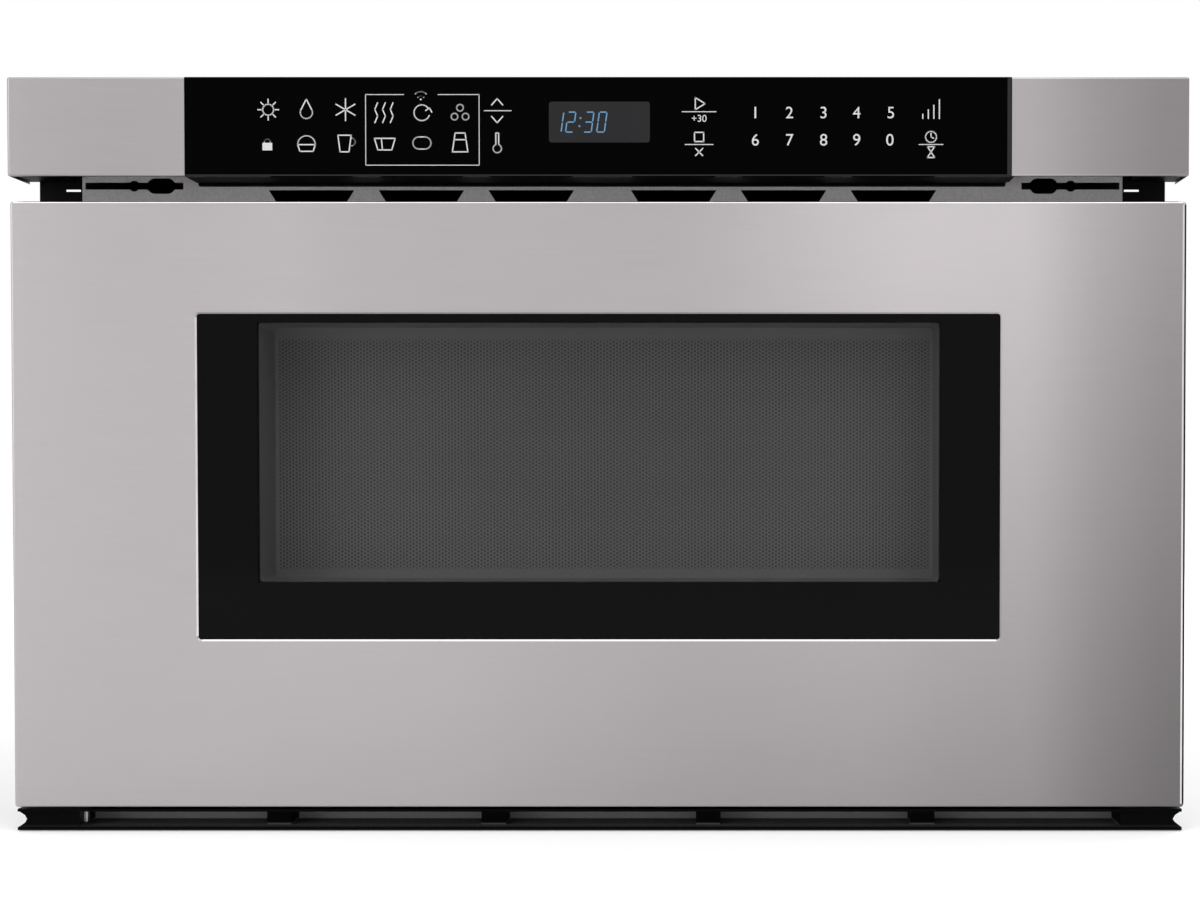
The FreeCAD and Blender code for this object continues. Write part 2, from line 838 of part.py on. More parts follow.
def make_exhaust_duct():
    """The flat duct from the cavity roof to the vent slots of the front frame."""
    half = duct_half
    low = vent_level - duct_height / 2
    high = low + duct_height
    end = duct_end
    drop = duct_drop_width / 2
    wall = duct_wall
    outer = fuse([
        box(-half, half, frame_back, end, low, high),
        box(-drop, drop, end - duct_drop_length, end, cavity_roof, high),
    ])
    inner = fuse([
        box(-half + wall, half - wall, frame_back - 1, end - wall, low + wall, high - wall),
        box(-drop + wall, drop - wall, end - duct_drop_length + wall, end - wall, cavity_roof - 1,
            high - wall),
    ])
    return outer.cut(inner)


def make_board_tray():
    """The plastic tray that carries the power board on the cavity roof."""
    half = tray_width / 2
    wall = housing_wall
    low = cavity_roof + tray_leg
    x0, x1 = tray_place - half, tray_place + half
    y1 = tray_front + tray_length
    shell = box(x0, x1, tray_front, y1, low, low + wall * 5)
    pocket = box(x0 + wall, x1 - wall, tray_front + wall, y1 - wall, low + wall, low + wall * 6)
    parts = [shell.cut(pocket)]
    for x in (x0, x1 - tray_leg):
        for y in (tray_front, y1 - tray_leg):
            parts.append(box(x, x + tray_leg, y, y + tray_leg, cavity_roof, low))
    return fuse(parts)


def make_power_board():
    """The relay and supply board in its tray, with its larger components."""
    wall = housing_wall
    low = cavity_roof + tray_leg + wall
    half = tray_width / 2 - wall - fit
    y0 = tray_front + wall + fit
    y1 = tray_front + tray_length - wall - fit
    top = low + board_thickness
    parts = [box(tray_place - half, tray_place + half, y0, y1, low, top)]
    left, right = tray_place - half + board_edge, tray_place + half - board_edge
    for n in range(relays):
        y = y0 + board_edge + n * relay_pitch
        parts.append(box(left, left + relay_width, y, y + relay_length, top, top + relay_height))
    parts.append(box(right - supply_width, right, y0 + board_edge, y0 + board_edge + supply_length, top,
                     top + supply_height))
    can_y = y0 + relay_pitch * relays + board_edge
    for x in (right - relay_pitch, right):
        parts.append(prism(8, board_can_radius, board_can_height, x - board_can_radius, can_y, top,
                           ALONG_Z))
    parts.append(box(left, right, y1 - board_edge - plug_height, y1 - board_edge, top, top + plug_height))
    return fuse(parts)


def make_noise_filter():
    """The supply filter on the rear panel beside the cord's outlet."""
    x0 = gland_place + gland_flange + filter_gap
    x1 = x0 + filter_length
    low = gland_level - filter_drop
    high = low + filter_height
    y0 = back_inner - filter_stand
    parts = [box(x0, x1, y0 - board_thickness, y0, low, high)]
    for x in (x0 + filter_post * 2, x1 - filter_post * 2):
        for z in (low + filter_post * 2, high - filter_post * 2):
            parts.append(prism(6, filter_post, filter_stand, x, y0, z, ALONG_Y))
    front = y0 - board_thickness
    middle = (low + high) / 2
    coil_x = x0 + filter_length * 0.3
    ring = prism(12, filter_coil, filter_coil * 0.6, coil_x, front - filter_coil * 0.6, middle, ALONG_Y)
    parts.append(ring.cut(prism(12, filter_coil * 0.45, filter_coil, coil_x, front - filter_coil * 0.8,
                                middle, ALONG_Y)))
    parts.append(box(x1 - filter_length * 0.4, x1 - filter_length * 0.17, front - filter_coil, front,
                     low + filter_height * 0.2, high - filter_height * 0.2))
    return fuse(parts)


def make_cavity_lamp():
    """The lamp and its holder on the cavity roof."""
    half = lamp_width / 2
    holder = box(lamp_place - half, lamp_place + half, lamp_depth - half, lamp_depth + half,
                 cavity_roof, cavity_roof + lamp_height * 0.4)
    cap = prism(8, lamp_radius, lamp_height * 0.6, lamp_place, lamp_depth, cavity_roof + lamp_height * 0.4,
                ALONG_Z)
    tab = box(lamp_place + half, lamp_place + half + lamp_tab_length, lamp_depth - lamp_tab_width / 2,
              lamp_depth + lamp_tab_width / 2, cavity_roof, cavity_roof + case_sheet)
    return fuse([holder, cap, tab])


# ---------------------------------------------------------------- slides and drive


def channel(x_web, x_open, low, high, length):
    """A C-shaped rail along Y, with its web at one x and its flanges reaching to the other."""
    y0 = slide_front
    inward = 1 if x_open > x_web else -1
    x0, x1 = min(x_web, x_open), max(x_web, x_open)
    outer = box(x0, x1, y0, y0 + length, low, high)
    hollow_web = x_web + inward * slide_steel
    h0, h1 = min(hollow_web, x_open + inward), max(hollow_web, x_open + inward)
    hollow = box(h0, h1, y0 - 1, y0 + length + 1, low + slide_steel, high - slide_steel)
    return outer.cut(hollow)


def make_slide_outer():
    """The fixed rail of the right-hand slide."""
    opening = slide_inner_half + slide_width * 0.2
    return channel(slide_outer_half, opening, slide_bottom, slide_top, slide_length)


def make_slide_middle():
    """The middle rail, which runs at half the drawer's speed."""
    step = slide_steel + running_gap
    web = slide_outer_half - step
    opening = slide_inner_half + slide_width * 0.3
    return channel(web, opening, slide_bottom + step, slide_top - step, slide_length)


def make_slide_inner():
    """The inner rail, fixed to the drawer's arm."""
    step = 2 * (slide_steel + running_gap)
    opening = slide_outer_half - step
    return channel(slide_inner_half, opening, slide_bottom + step, slide_top - step, slide_length)


def make_slide_bracket():
    """The folded bracket between the fixed rail, the base and the side panel."""
    inner = case_inner - case_sheet
    y0, y1 = slide_front, slide_front + slide_length
    low = case_sheet
    return fuse([
        box(slide_outer_half, slide_outer_half + bracket_steel, y0, y1, low, slide_top),
        box(slide_outer_half, inner, y0, y1, low, low + bracket_steel),
        box(slide_outer_half, case_inner, y0, y1, slide_top - bracket_steel, slide_top),
    ])


def make_drawer_arm():
    """The right-hand arm: a folded steel angle from the drawer front back along the slide."""
    y0, y1 = drawer_back, arm_back
    inner = arm_inner - arm_flange
    web = box(arm_inner, slide_inner_half, y0, y1, arm_bottom, arm_top)
    shelf = box(inner, slide_inner_half, y0, y1, arm_top - arm_steel, arm_top)
    foot = box(inner, slide_inner_half, y0, y0 + closing_gap * 0.75, arm_bottom, arm_top)
    return fuse([web, shelf, foot])


def rack_profile(pitch_line):
    """The outline of the rack in the plane of Y and Z, teeth down, with a gap over the pinion."""
    half = (rack_pitch / 2 - backlash) / 2
    slope = math.tan(pressure_angle)
    tip = half - addendum * rack_module * slope
    root = half + dedendum * rack_module * slope
    low = pitch_line - addendum * rack_module
    high = pitch_line + dedendum * rack_module
    start = rack_start + rack_pitch / 2
    points = []
    for n in range(rack_teeth):
        middle = start + rack_pitch * n
        points += [(middle - root, high), (middle - tip, low), (middle + tip, low), (middle + root, high)]
    top = high + rack_back
    first, last = rack_start, rack_start + rack_pitch * rack_teeth
    return [(first, high)] + points + [(last, high), (last, top), (first, top)]


def make_drive_rack():
    """The right-hand rack, fixed to the inner face of the arm."""
    x = arm_inner - rack_width
    points = [V(x, y, z) for y, z in rack_profile(rack_pitch_line)]
    return extrude(points, ALONG_X, rack_width)


def gear(teeth, module, width, bore, turn, flank_points):
    """A spur gear about the X axis, with a hexagonal bore. Its flanks join involute points by chords."""
    pitch_r = module * teeth / 2
    base_r = pitch_r * math.cos(pressure_angle)
    tip_r = pitch_r + addendum * module
    root_r = pitch_r - dedendum * module
    start_r = max(base_r, root_r)
    half_tooth = (math.pi * module / 2 - backlash) / (2 * pitch_r)
    involute = math.tan(pressure_angle) - pressure_angle
    radii = [start_r + (tip_r - start_r) * n / (flank_points - 1) for n in range(flank_points)]

    def flank_angle(radius):
        roll = math.acos(min(1, base_r / radius))
        return half_tooth + involute - (math.tan(roll) - roll)

    def point(radius, angle):
        return V(0, radius * math.cos(angle), radius * math.sin(angle))

    flank = [(r, flank_angle(r)) for r in radii]
    if root_r < start_r:
        flank.insert(0, (root_r, flank_angle(start_r)))
    outline = []
    for n in range(teeth):
        centre = turn + n * 2 * math.pi / teeth
        outline += [point(r, centre - angle) for r, angle in flank]
        outline += [point(r, centre + angle) for r, angle in reversed(flank)]
    blank = extrude(outline, ALONG_X, width)
    return blank.cut(prism(6, bore + bearing_gap / 2, width + 2, -1, 0, 0, ALONG_X))


def make_drive_pinion():
    """The pinion on the right-hand end of the cross shaft, with a tooth up into the rack's gap."""
    wheel = gear(pinion_teeth, rack_module, pinion_width, shaft_radius, math.pi / 2, 3)
    wheel.translate(V(shaft_half - pinion_width, drive_depth, drive_height))
    return wheel


def make_reduction_gear():
    """The large gear on the cross shaft."""
    wheel = gear(gear_teeth, gear_module, gear_width, shaft_radius, 0, 2)
    wheel.translate(V(gear_place - gear_width / 2, drive_depth, drive_height))
    return wheel


def make_motor_pinion():
    """The pinion of the gear motor, with the shaft that enters its gearbox."""
    turn = math.pi / motor_teeth
    wheel = gear(motor_teeth, gear_module, gear_width, stub_radius, turn, 2)
    length = drive_steel + stub_reach
    stub = prism(8, stub_radius, length, -length, 0, 0, ALONG_X)
    key = prism(6, stub_radius + bearing_gap, gear_width, 0, 0, 0, ALONG_X)
    whole = fuse([wheel, key, stub])
    whole.translate(V(gear_place - gear_width / 2, motor_depth, drive_height))
    return whole


def make_drive_shaft():
    """The hexagonal cross shaft between the two pinions."""
    return prism(6, shaft_radius, 2 * shaft_half, -shaft_half, drive_depth, drive_height, ALONG_X)


def make_drive_bracket():
    """The right-hand bearing bracket of the cross shaft, on the base, with its bush."""
    x1 = bush_place + drive_steel / 2
    x0 = x1 - drive_steel
    reach = bush_radius * 2.2
    top = drive_height + bush_radius * 1.8
    plate = box(x0, x1, drive_depth - reach, drive_depth + reach, case_sheet, top)
    foot = box(x0 - reach * 0.7, x1, drive_depth - reach, drive_depth + reach, case_sheet,
               case_sheet + drive_steel)
    bush = prism(8, bush_radius, bush_length, bush_place - bush_length / 2, drive_depth, drive_height,
                 ALONG_X)
    bore = rod(shaft_radius + bearing_gap, bush_length * 2, bush_place - bush_length, drive_depth,
               drive_height, ALONG_X)
    return fuse([plate, foot, bush]).cut(bore)


def make_drive_motor():
    """The gear motor on its bracket: a gearbox, a round motor can and a plug."""
    plate_x = gear_place - gear_width / 2 - drive_steel
    gear_clear = drive_depth + shaft_radius + motor_boss
    box_end = plate_x - drive_steel
    box_start = box_end - gearbox_width
    high = drive_height + gearbox_height / 2
    low = drive_height - gearbox_height / 2
    far = motor_depth + (motor_depth - gear_clear)
    parts = [
        box(box_end, plate_x, gear_clear, far + motor_boss, case_sheet, high),
        box(box_end - gearbox_width * 0.8, plate_x, gear_clear, far + motor_boss, case_sheet,
            case_sheet + drive_steel),
        box(box_start, box_end, gear_clear, far, low, high),
        prism(16, motor_radius, motor_length, box_start - motor_length, motor_depth, drive_height, ALONG_X),
        prism(6, stub_radius * 2, motor_boss, box_start - motor_length - motor_boss, motor_depth,
              drive_height, ALONG_X),
    ]
    bore = rod(stub_radius + bearing_gap, stub_reach + drive_steel * 2, plate_x - drive_steel - stub_reach,
               motor_depth, drive_height, ALONG_X)
    return fuse(parts).cut(bore)


# ---------------------------------------------------------------- interlocks


def make_interlock_finger():
    """The right-hand finger on the drawer front that reaches through the frame to its switch."""
    half = finger_width / 2
    low, high = finger_level - finger_height / 2, finger_level + finger_height / 2
    pad = box(finger_place - finger_width * 1.6, finger_place + finger_width * 1.6, drawer_back,
              drawer_back + closing_gap * 0.75, low - finger_pad, high + finger_pad)
    finger = box(finger_place - half, finger_place + half, drawer_back, finger_tip, low, high)
    finger = finger.makeChamfer(half * 0.8, [e for e in front_edges(finger, finger_tip)
                                             if e.BoundBox.XLength < 1e-6])
    return fuse([pad, finger])


def make_interlock_switch():
    """The right-hand door switch on its bracket behind the front frame."""
    half = switch_width / 2
    front = finger_tip + fit + plunger_reach
    low = finger_level - switch_height / 2
    x0, x1 = finger_place - half, finger_place + half
    body = box(x0, x1, front, front + switch_length, low, low + switch_height)
    bracket = fuse([
        box(x1, x1 + case_sheet, frame_back, front + switch_length, low, low + switch_height),
        box(x1, x1 + switch_flange, frame_back, frame_back + case_sheet, low, low + switch_height),
    ])
    room = plunger_size / 2 + bearing_gap
    bore = box(finger_place - room, finger_place + room, front - 1, front + plunger_travel * 3,
               finger_level - room, finger_level + room)
    return fuse([body, bracket]).cut(bore)


def make_interlock_plunger():
    """The sprung plunger of the right-hand switch, held in by the finger when the drawer is shut."""
    start = finger_tip + fit
    length = plunger_reach + plunger_travel
    half = plunger_size / 2
    plunger = box(finger_place - half, finger_place + half, start, start + length,
                  finger_level - half, finger_level + half)
    return plunger.makeChamfer(half * 0.4, front_edges(plunger, start))


# ---------------------------------------------------------------- control panel


def make_control_housing():
    """The moulded carrier of the panel: a pocket for its board, two tongues and a drip edge."""
    inset = skin + fit
    centre = box(-glass_half, glass_half, glass_thickness, front_stand, panel_bottom, overall_height)
    tongue = box(glass_half, half_width - inset, inset, front_stand, panel_bottom + inset,
                 overall_height - inset)
    wall = housing_wall
    end = half_width - inset
    tongue = carve(tongue, [
        box(glass_half + wall, end - cap_block, inset + wall, front_stand + 1, panel_bottom - 1,
            overall_height - inset - wall),
        box(end - cap_block + wall, end - wall, inset + wall, front_stand + 1, panel_bottom + inset + wall,
            overall_height - inset - wall),
    ])
    pocket = box(-glass_half + wall, glass_half - wall, glass_thickness - 1, front_stand - wall,
                 panel_bottom + wall, overall_height - wall)
    shell = centre.cut(pocket)
    bosses = []
    back = board_depth + board_thickness
    half = glass_half - board_margin - board_boss * 2
    for x in (-half, half):
        for z in (panel_bottom + panel_height * 0.3, overall_height - panel_height * 0.3):
            bosses.append(box(x - board_boss, x + board_boss, back, front_stand - wall, z - board_boss,
                              z + board_boss))
    drip = box(-glass_half, glass_half, front_stand - drip_depth, front_stand, panel_bottom - drip_height,
               panel_bottom + wall)
    return fuse([shell, drip] + both_sides(tongue) + bosses)


def make_control_glass():
    """The black touch glass across the middle of the panel."""
    slab = box(-glass_half + fit / 2, glass_half - fit / 2, 0, glass_thickness, panel_bottom,
               overall_height)
    return slab.makeChamfer(glass_thickness * 0.2, front_edges(slab, 0))


def make_end_cap():
    """The right-hand stainless end cap, folded over the top and the end of the panel and open below."""
    outer = box(glass_half, half_width, 0, front_stand, panel_bottom, overall_height)
    rounded = [e for e in front_edges(outer, 0) if e.BoundBox.XMax > glass_half + 1]
    rounded += [e for e in straight_edges(outer, ALONG_Y) if e.BoundBox.XMin > half_width - 1]
    outer = outer.makeFillet(panel_edge, rounded)
    inner = box(glass_half - 1, half_width - skin, skin, front_stand + 1, panel_bottom - 1,
                overall_height - skin)
    return outer.cut(inner)


def make_control_board():
    """The control board with its chips and connector."""
    half = glass_half - board_margin
    low, high = panel_bottom + board_margin * 0.7, overall_height - board_margin * 0.7
    back = board_depth + board_thickness
    parts = [box(-half, half, board_depth, back, low, high)]
    middle = (low + high) / 2
    for share in (-0.6, -0.2, 0.3, 0.65):
        x = half * share
        parts.append(box(x, x + chip_size, back, back + chip_height, middle - chip_size / 2,
                         middle + chip_size / 2))
    plug_x = half * 0.45
    parts.append(box(plug_x, plug_x + plug_length, back, back + plug_height, low + chip_height,
                     low + chip_height + plug_height))
    return fuse(parts)


def make_display_module():
    """The display between the glass and the board."""
    middle = (panel_bottom + overall_height) / 2 + display_rise
    half = display_width / 2
    return box(-half, half, glass_thickness, board_depth, middle - display_height / 2,
               middle + display_height / 2)


# ---------------------------------------------------------------- drawer


def make_drawer_skin():
    """The stainless front, a folded pan with round edges and a bevelled window opening."""
    outer = round_box(-drawer_half, drawer_half, 0, drawer_back, base_gap, drawer_top, skin_corner)
    outer = outer.makeFillet(skin_edge, front_edges(outer, 0))
    inner = box(-drawer_half + skin, drawer_half - skin, skin, drawer_back + 1, base_gap + skin,
                drawer_top - skin)
    opening = round_box(-window_half + window_bevel, window_half - window_bevel, -1, skin + 1,
                        window_bottom + window_bevel, window_top - window_bevel, skin_corner)
    pan = carve(outer, [inner, opening])
    limit = window_half + 1
    rim = front_edges(pan, 0, limit, window_bottom - 1, window_top + 1)
    return pan.makeChamfer(window_bevel, rim)


def make_window_glass():
    """The outer glass behind the opening, lapped by the skin all round."""
    return box(-window_half - window_lap, window_half + window_lap, skin, glass_back,
               window_bottom - window_lap, window_top + window_lap)


def make_door_frame():
    """The moulded back of the drawer front: a tray round the choke, ribs, and a seat for the glass."""
    gap = fit
    wall = moulding
    x1 = drawer_half - skin - gap
    low, high = base_gap + skin + gap, drawer_top - skin - gap
    tray = box(-x1, x1, skin, drawer_back, low, high)
    inside = box(-x1 + wall, x1 - wall, 0, drawer_back - wall, low + wall, high - wall)
    nest = choke_half + gap
    nest_low, nest_high = choke_bottom - gap, choke_top + gap
    tray = tray.cut(inside)
    collar = box(-nest - wall, nest + wall, skin, drawer_back, nest_low - wall, nest_high + wall)
    seat_back = glass_back + wall
    collar = carve(collar, [
        box(-nest, nest, seat_back, drawer_back + 1, nest_low, nest_high),
        box(-nest, nest, 0, glass_back, nest_low, nest_high),
    ])
    reach = screen_sheet + fit + wall
    tunnel = box(-screen_half - reach, screen_half + reach, glass_back, choke_front, screen_bottom - reach,
                 screen_top + reach)
    ribs = []
    count = int((nest - wall) // rib_pitch)
    for n in range(-count, count + 1):
        x = n * rib_pitch
        ribs.append(box(x - wall / 2, x + wall / 2, skin, drawer_back, nest_high + wall, high))
        ribs.append(box(x - wall / 2, x + wall / 2, skin, drawer_back, low, nest_low - wall))
    whole = fuse([tray, collar, tunnel] + ribs)
    room = screen_sheet + fit
    opening = box(-screen_half - room, screen_half + room, 0, choke_front + 1, screen_bottom - room,
                  screen_top + room)
    nest_void = box(-nest, nest, choke_front, drawer_back + 1, nest_low, nest_high)
    return carve(whole, [opening, nest_void])


def comb(length):
    """Evenly spaced slots along a wall of the choke, as distances from its middle."""
    count = int((length / 2 - choke_pitch) // choke_pitch)
    return [n * choke_pitch for n in range(-count, count + 1)]


def make_choke_ring():
    """The stamped choke round the window: a folded channel with a comb of slots in its wall and lip."""
    sheet = tub_sheet
    outer = box(-choke_half, choke_half, choke_front, drawer_back, choke_bottom, choke_top)
    trough = box(-choke_half + sheet, choke_half - sheet, choke_front + sheet, drawer_back - sheet,
                 choke_bottom + sheet, choke_top - sheet)
    mouth = box(-choke_half + choke_lip, choke_half - choke_lip, drawer_back - sheet * 2, drawer_back + 1,
                choke_bottom + choke_lip, choke_top - choke_lip)
    room = screen_sheet + fit
    window = box(-screen_half - room, screen_half + room, choke_front - 1, choke_front + sheet * 2,
                 screen_bottom - room, screen_top + room)
    tools = [trough, mouth, window]
    y0 = choke_front + choke_depth * 0.4
    half = choke_slot / 2
    height = choke_top - choke_bottom
    middle = (choke_top + choke_bottom) / 2
    for x in comb(2 * choke_half):
        for z0, z1 in ((choke_bottom - 1, choke_bottom + choke_lip + 1),
                       (choke_top - choke_lip - 1, choke_top + 1)):
            tools.append(box(x - half, x + half, y0, drawer_back + 1, z0, z1))
    for step in comb(height):
        z = middle + step
        cut = box(choke_half - choke_lip - 1, choke_half + 1, y0, drawer_back + 1, z - half, z + half)
        tools += both_sides(cut)
    return carve(outer, tools)


def make_screen_panel():
    """The drawn screen sheet behind the window, a shallow tray from the glass back to the tub."""
    y0 = choke_front + tub_sheet
    start = glass_back + fit
    flange = box(-screen_half - screen_flange, screen_half + screen_flange, y0, y0 + screen_sheet,
                 screen_bottom - screen_flange, screen_top + screen_flange)
    tray = round_box(-screen_half - screen_sheet, screen_half + screen_sheet, start, tub_front,
                     screen_bottom - screen_sheet, screen_top + screen_sheet, screen_corner + screen_sheet)
    hollow = round_box(-screen_half, screen_half, start - 1, screen_depth, screen_bottom, screen_top,
                       screen_corner)
    return fuse([flange, tray]).cut(hollow)


def make_inner_window():
    """The flat glass inside the tub's front wall."""
    lap = screen_flange
    return box(-screen_half - lap, screen_half + lap, inner_glass_front, tub_inside,
               screen_bottom - lap, screen_top + lap)


def make_drawer_tub():
    """The tub that holds the food: a deep-drawn steel box, open above, with its front wall set back."""
    start = choke_front + tub_sheet
    outer = round_box(-tub_half, tub_half, start, tub_back, tub_floor, tub_top + tub_corner, tub_corner)
    outer = outer.cut(box(-tub_half - 1, tub_half + 1, start - 1, tub_back + 1, tub_top,
                          tub_top + tub_corner + 1))
    half = tub_half - tub_sheet
    low = tub_floor + tub_sheet
    bowl = round_box(-half, half, inner_glass_front, tub_back - tub_sheet, low, tub_top + tub_corner * 2,
                     tub_corner - tub_sheet)
    chamber = round_box(-half, half, start - 1, tub_front, low, tub_top - tub_sheet, tub_corner - tub_sheet)
    window = box(-screen_half + screen_corner, screen_half - screen_corner, tub_front - 1, tub_inside + 1,
                 screen_bottom + screen_corner, screen_top - screen_corner)
    shell = carve(outer, [bowl, chamber, window])
    rims = both_sides(box(tub_half, tub_half + tub_rim, tub_inside, tub_back, tub_top - tub_sheet, tub_top))
    rims.append(box(-tub_half - tub_rim, tub_half + tub_rim, tub_back, tub_back + tub_rim,
                    tub_top - tub_sheet, tub_top))
    return fuse([shell] + rims)


def make_ceramic_floor():
    """The flat glass-ceramic plate that the food stands on."""
    half = tub_half - tub_corner - fit
    low = tub_floor + tub_sheet
    return round_box(-half, half, tub_inside + tub_corner, tub_back - tub_corner,
                     low, low + ceramic_thickness, ceramic_corner, ALONG_Z)


def make_tub_glide():
    """The right-hand low-friction pad under the back of the tub."""
    x0 = tub_half - glide_inset - glide_width
    y1 = tub_back - glide_inset
    return box(x0, x0 + glide_width, y1 - glide_length, y1, cavity_floor + fit, tub_floor)


# ---------------------------------------------------------------- nodes


def nodes():
    """Every sub-part by its name."""
    made = {
        "base_plate": make_base_plate(),
        "top_panel": make_top_panel(),
        "rear_panel": make_rear_panel(),
        "cord_gland": make_cord_gland(),
        "front_frame": make_front_frame(),
        "lower_grille": make_lower_grille(),
        "cavity_liner": make_cavity_liner(),
        "stirrer_cover": make_stirrer_cover(),
        "stirrer_blade": make_stirrer_blade(),
        "stirrer_motor": make_stirrer_motor(),
        "waveguide": make_waveguide(),
        "magnetron": make_magnetron(),
        "hv_transformer": make_transformer(),
        "hv_capacitor": make_capacitor(),
        "fan_shroud": make_fan_shroud(),
        "fan_motor": make_fan_motor(),
        "fan_impeller": make_fan_impeller(),
        "exhaust_duct": make_exhaust_duct(),
        "board_tray": make_board_tray(),
        "power_board": make_power_board(),
        "noise_filter": make_noise_filter(),
        "cavity_lamp": make_cavity_lamp(),
        "drive_shaft": make_drive_shaft(),
        "reduction_gear": make_reduction_gear(),
        "motor_pinion": make_motor_pinion(),
        "drive_motor": make_drive_motor(),
        "control_housing": make_control_housing(),
        "control_glass": make_control_glass(),
        "control_board": make_control_board(),
        "display_module": make_display_module(),
        "drawer_skin": make_drawer_skin(),
        "window_glass": make_window_glass(),
        "door_frame": make_door_frame(),
        "choke_ring": make_choke_ring(),
        "screen_panel": make_screen_panel(),
        "inner_window": make_inner_window(),
        "drawer_tub": make_drawer_tub(),
        "ceramic_floor": make_ceramic_floor(),
    }
    one_each = {
        "side_panel": make_side_panel(),
        "mounting_flange": make_mounting_flange(),
        "end_cap": make_end_cap(),
        "slide_middle": make_slide_middle(),
        "interlock_plunger": make_interlock_plunger(),
    }
    for side, sign in SIDES:
        for name, shape in one_each.items():
            made[f"{name}_{side}"] = on_side(shape, sign)
    pairs = {
        "slide_brackets": make_slide_bracket(),
        "slide_outer_rails": make_slide_outer(),
        "slide_inner_rails": make_slide_inner(),
        "drawer_arms": make_drawer_arm(),
        "drive_racks": make_drive_rack(),
        "drive_pinions": make_drive_pinion(),
        "drive_brackets": make_drive_bracket(),
        "interlock_fingers": make_interlock_finger(),
        "interlock_switches": make_interlock_switch(),
        "tub_glides": make_tub_glide(),
    }
    for name, shape in pairs.items():
        made[name] = Part.makeCompound(both_sides(shape))
    return made


os.makedirs("parts", exist_ok=True)
for node, shape in nodes().items():
    shape.translate(V(0, -overall_depth / 2, 0))
    shape.exportStep(f"parts/{node}.step")
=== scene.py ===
import json
import math

import bmesh
import bpy
from mathutils import Matrix, Vector


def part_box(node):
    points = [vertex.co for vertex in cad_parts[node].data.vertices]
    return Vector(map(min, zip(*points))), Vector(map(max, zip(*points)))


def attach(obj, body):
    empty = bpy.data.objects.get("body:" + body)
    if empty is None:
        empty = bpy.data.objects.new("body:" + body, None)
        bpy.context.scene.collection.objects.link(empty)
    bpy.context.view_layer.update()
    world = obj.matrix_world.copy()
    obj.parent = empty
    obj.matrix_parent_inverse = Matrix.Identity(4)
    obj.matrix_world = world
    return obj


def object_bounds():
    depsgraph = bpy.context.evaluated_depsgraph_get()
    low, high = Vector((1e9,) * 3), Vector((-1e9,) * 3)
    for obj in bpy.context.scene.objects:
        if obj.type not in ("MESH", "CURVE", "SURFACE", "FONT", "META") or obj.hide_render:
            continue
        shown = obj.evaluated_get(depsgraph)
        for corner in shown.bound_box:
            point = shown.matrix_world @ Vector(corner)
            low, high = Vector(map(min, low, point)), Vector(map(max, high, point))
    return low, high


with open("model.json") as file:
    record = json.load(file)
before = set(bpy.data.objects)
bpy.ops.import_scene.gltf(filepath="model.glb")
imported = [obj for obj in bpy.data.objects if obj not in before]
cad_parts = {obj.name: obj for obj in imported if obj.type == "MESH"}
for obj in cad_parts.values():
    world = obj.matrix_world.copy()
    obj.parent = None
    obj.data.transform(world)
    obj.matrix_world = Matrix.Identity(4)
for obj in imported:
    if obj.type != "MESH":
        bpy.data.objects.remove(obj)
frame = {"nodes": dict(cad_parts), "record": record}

cad_box = [list(corner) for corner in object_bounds()]

# Microwave drawer. Metres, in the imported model's frame: X to the right, Y to the back, Z up.

# The front is read off at this scale. Pixels are counted in a picture of 1200 by 908.
PIXEL = 0.0005148
PICTURE_WIDTH, PICTURE_HEIGHT = 1200, 908
FRONT_MIDDLE = 597.5
FRONT_BOTTOM = 831.0

# Noise patterns mostly lie between these two values.
NOISE_LOW, NOISE_HIGH = 0.3, 0.7

# The steel's tone over the front is painted light and shade, laid out as light falls in a room. A slope is
# the tone at its two ends, then the places of these ends across the front or up it.
PANEL_FOOT = 0.3372
PAINTED_STRIP_SHADE = (0.85, 0.73, 0.0, 0.2)
PAINTED_UPPER_SLOPE = (0.92, 1.14, -0.29, -0.16)
PAINTED_LOWER_SLOPE = (0.99, 0.91, 0.05, 0.17)
PAINTED_SLOPE_LEVELS = (0.0, 1.0, 0.04, 0.30)
PAINTED_RISE = (1.18, 1.07, 0.0, PANEL_FOOT)
PAINTED_SHEEN_START = (0.0, 0.30, 0.03, 0.17)
PAINTED_SHEEN_END = (1.0, 0.0, 0.215, 0.262)
PAINTED_EDGE_SHADE = (1.0, 0.76, 0.245, 0.300)
PAINTED_CORNER_SHADE = (0.53, 1.0, 0.02, 0.62)
PAINTED_CORNER_STRETCH = (1.3, 0.0, 1.7)
PAINTED_CORNER_PLACE = (0.416, 0.0, 0.0)

# The screen behind the window: half its width, its foot and its head.
SCREEN_HALF = 0.1756
SCREEN_BOTTOM = 0.1287
SCREEN_TOP = 0.2625
SCREEN_SETBACK = 0.0425
SCREEN_PITCH = 0.0020
FIELD_SIDE, FIELD_FOOT, FIELD_HEAD = 0.0025, 0.004, 0.008


# ---------------------------------------------------------------- node tools


def new_material(name):
    """A material with a Principled shader, its tree and the shader."""
    material = bpy.data.materials.new(name)
    material.use_nodes = True
    tree = material.node_tree
    return material, tree, tree.nodes["Principled BSDF"]


def node(tree, kind, inputs=None, **settings):
    """A shader node with its settings and its inputs, each a value or the socket that feeds it."""
    made = tree.nodes.new(kind)
    for key, value in settings.items():
        setattr(made, key, value)
    for key, value in (inputs or {}).items():
        if isinstance(value, bpy.types.NodeSocket):
            tree.links.new(value, made.inputs[key])
        else:
            made.inputs[key].default_value = value
    return made


def coordinates(tree, scale=(1, 1, 1), turn=(0, 0, 0)):
    """Object coordinates, scaled and turned."""
    place = node(tree, "ShaderNodeTexCoord").outputs["Object"]
    mapped = node(tree, "ShaderNodeMapping", {"Vector": place, "Scale": scale, "Rotation": turn})
    return mapped.outputs["Vector"]


def places(tree):
    """The three object coordinates, each by itself."""
    apart = node(tree, "ShaderNodeSeparateXYZ", {"Vector": coordinates(tree)})
    return apart.outputs["X"], apart.outputs["Y"], apart.outputs["Z"]


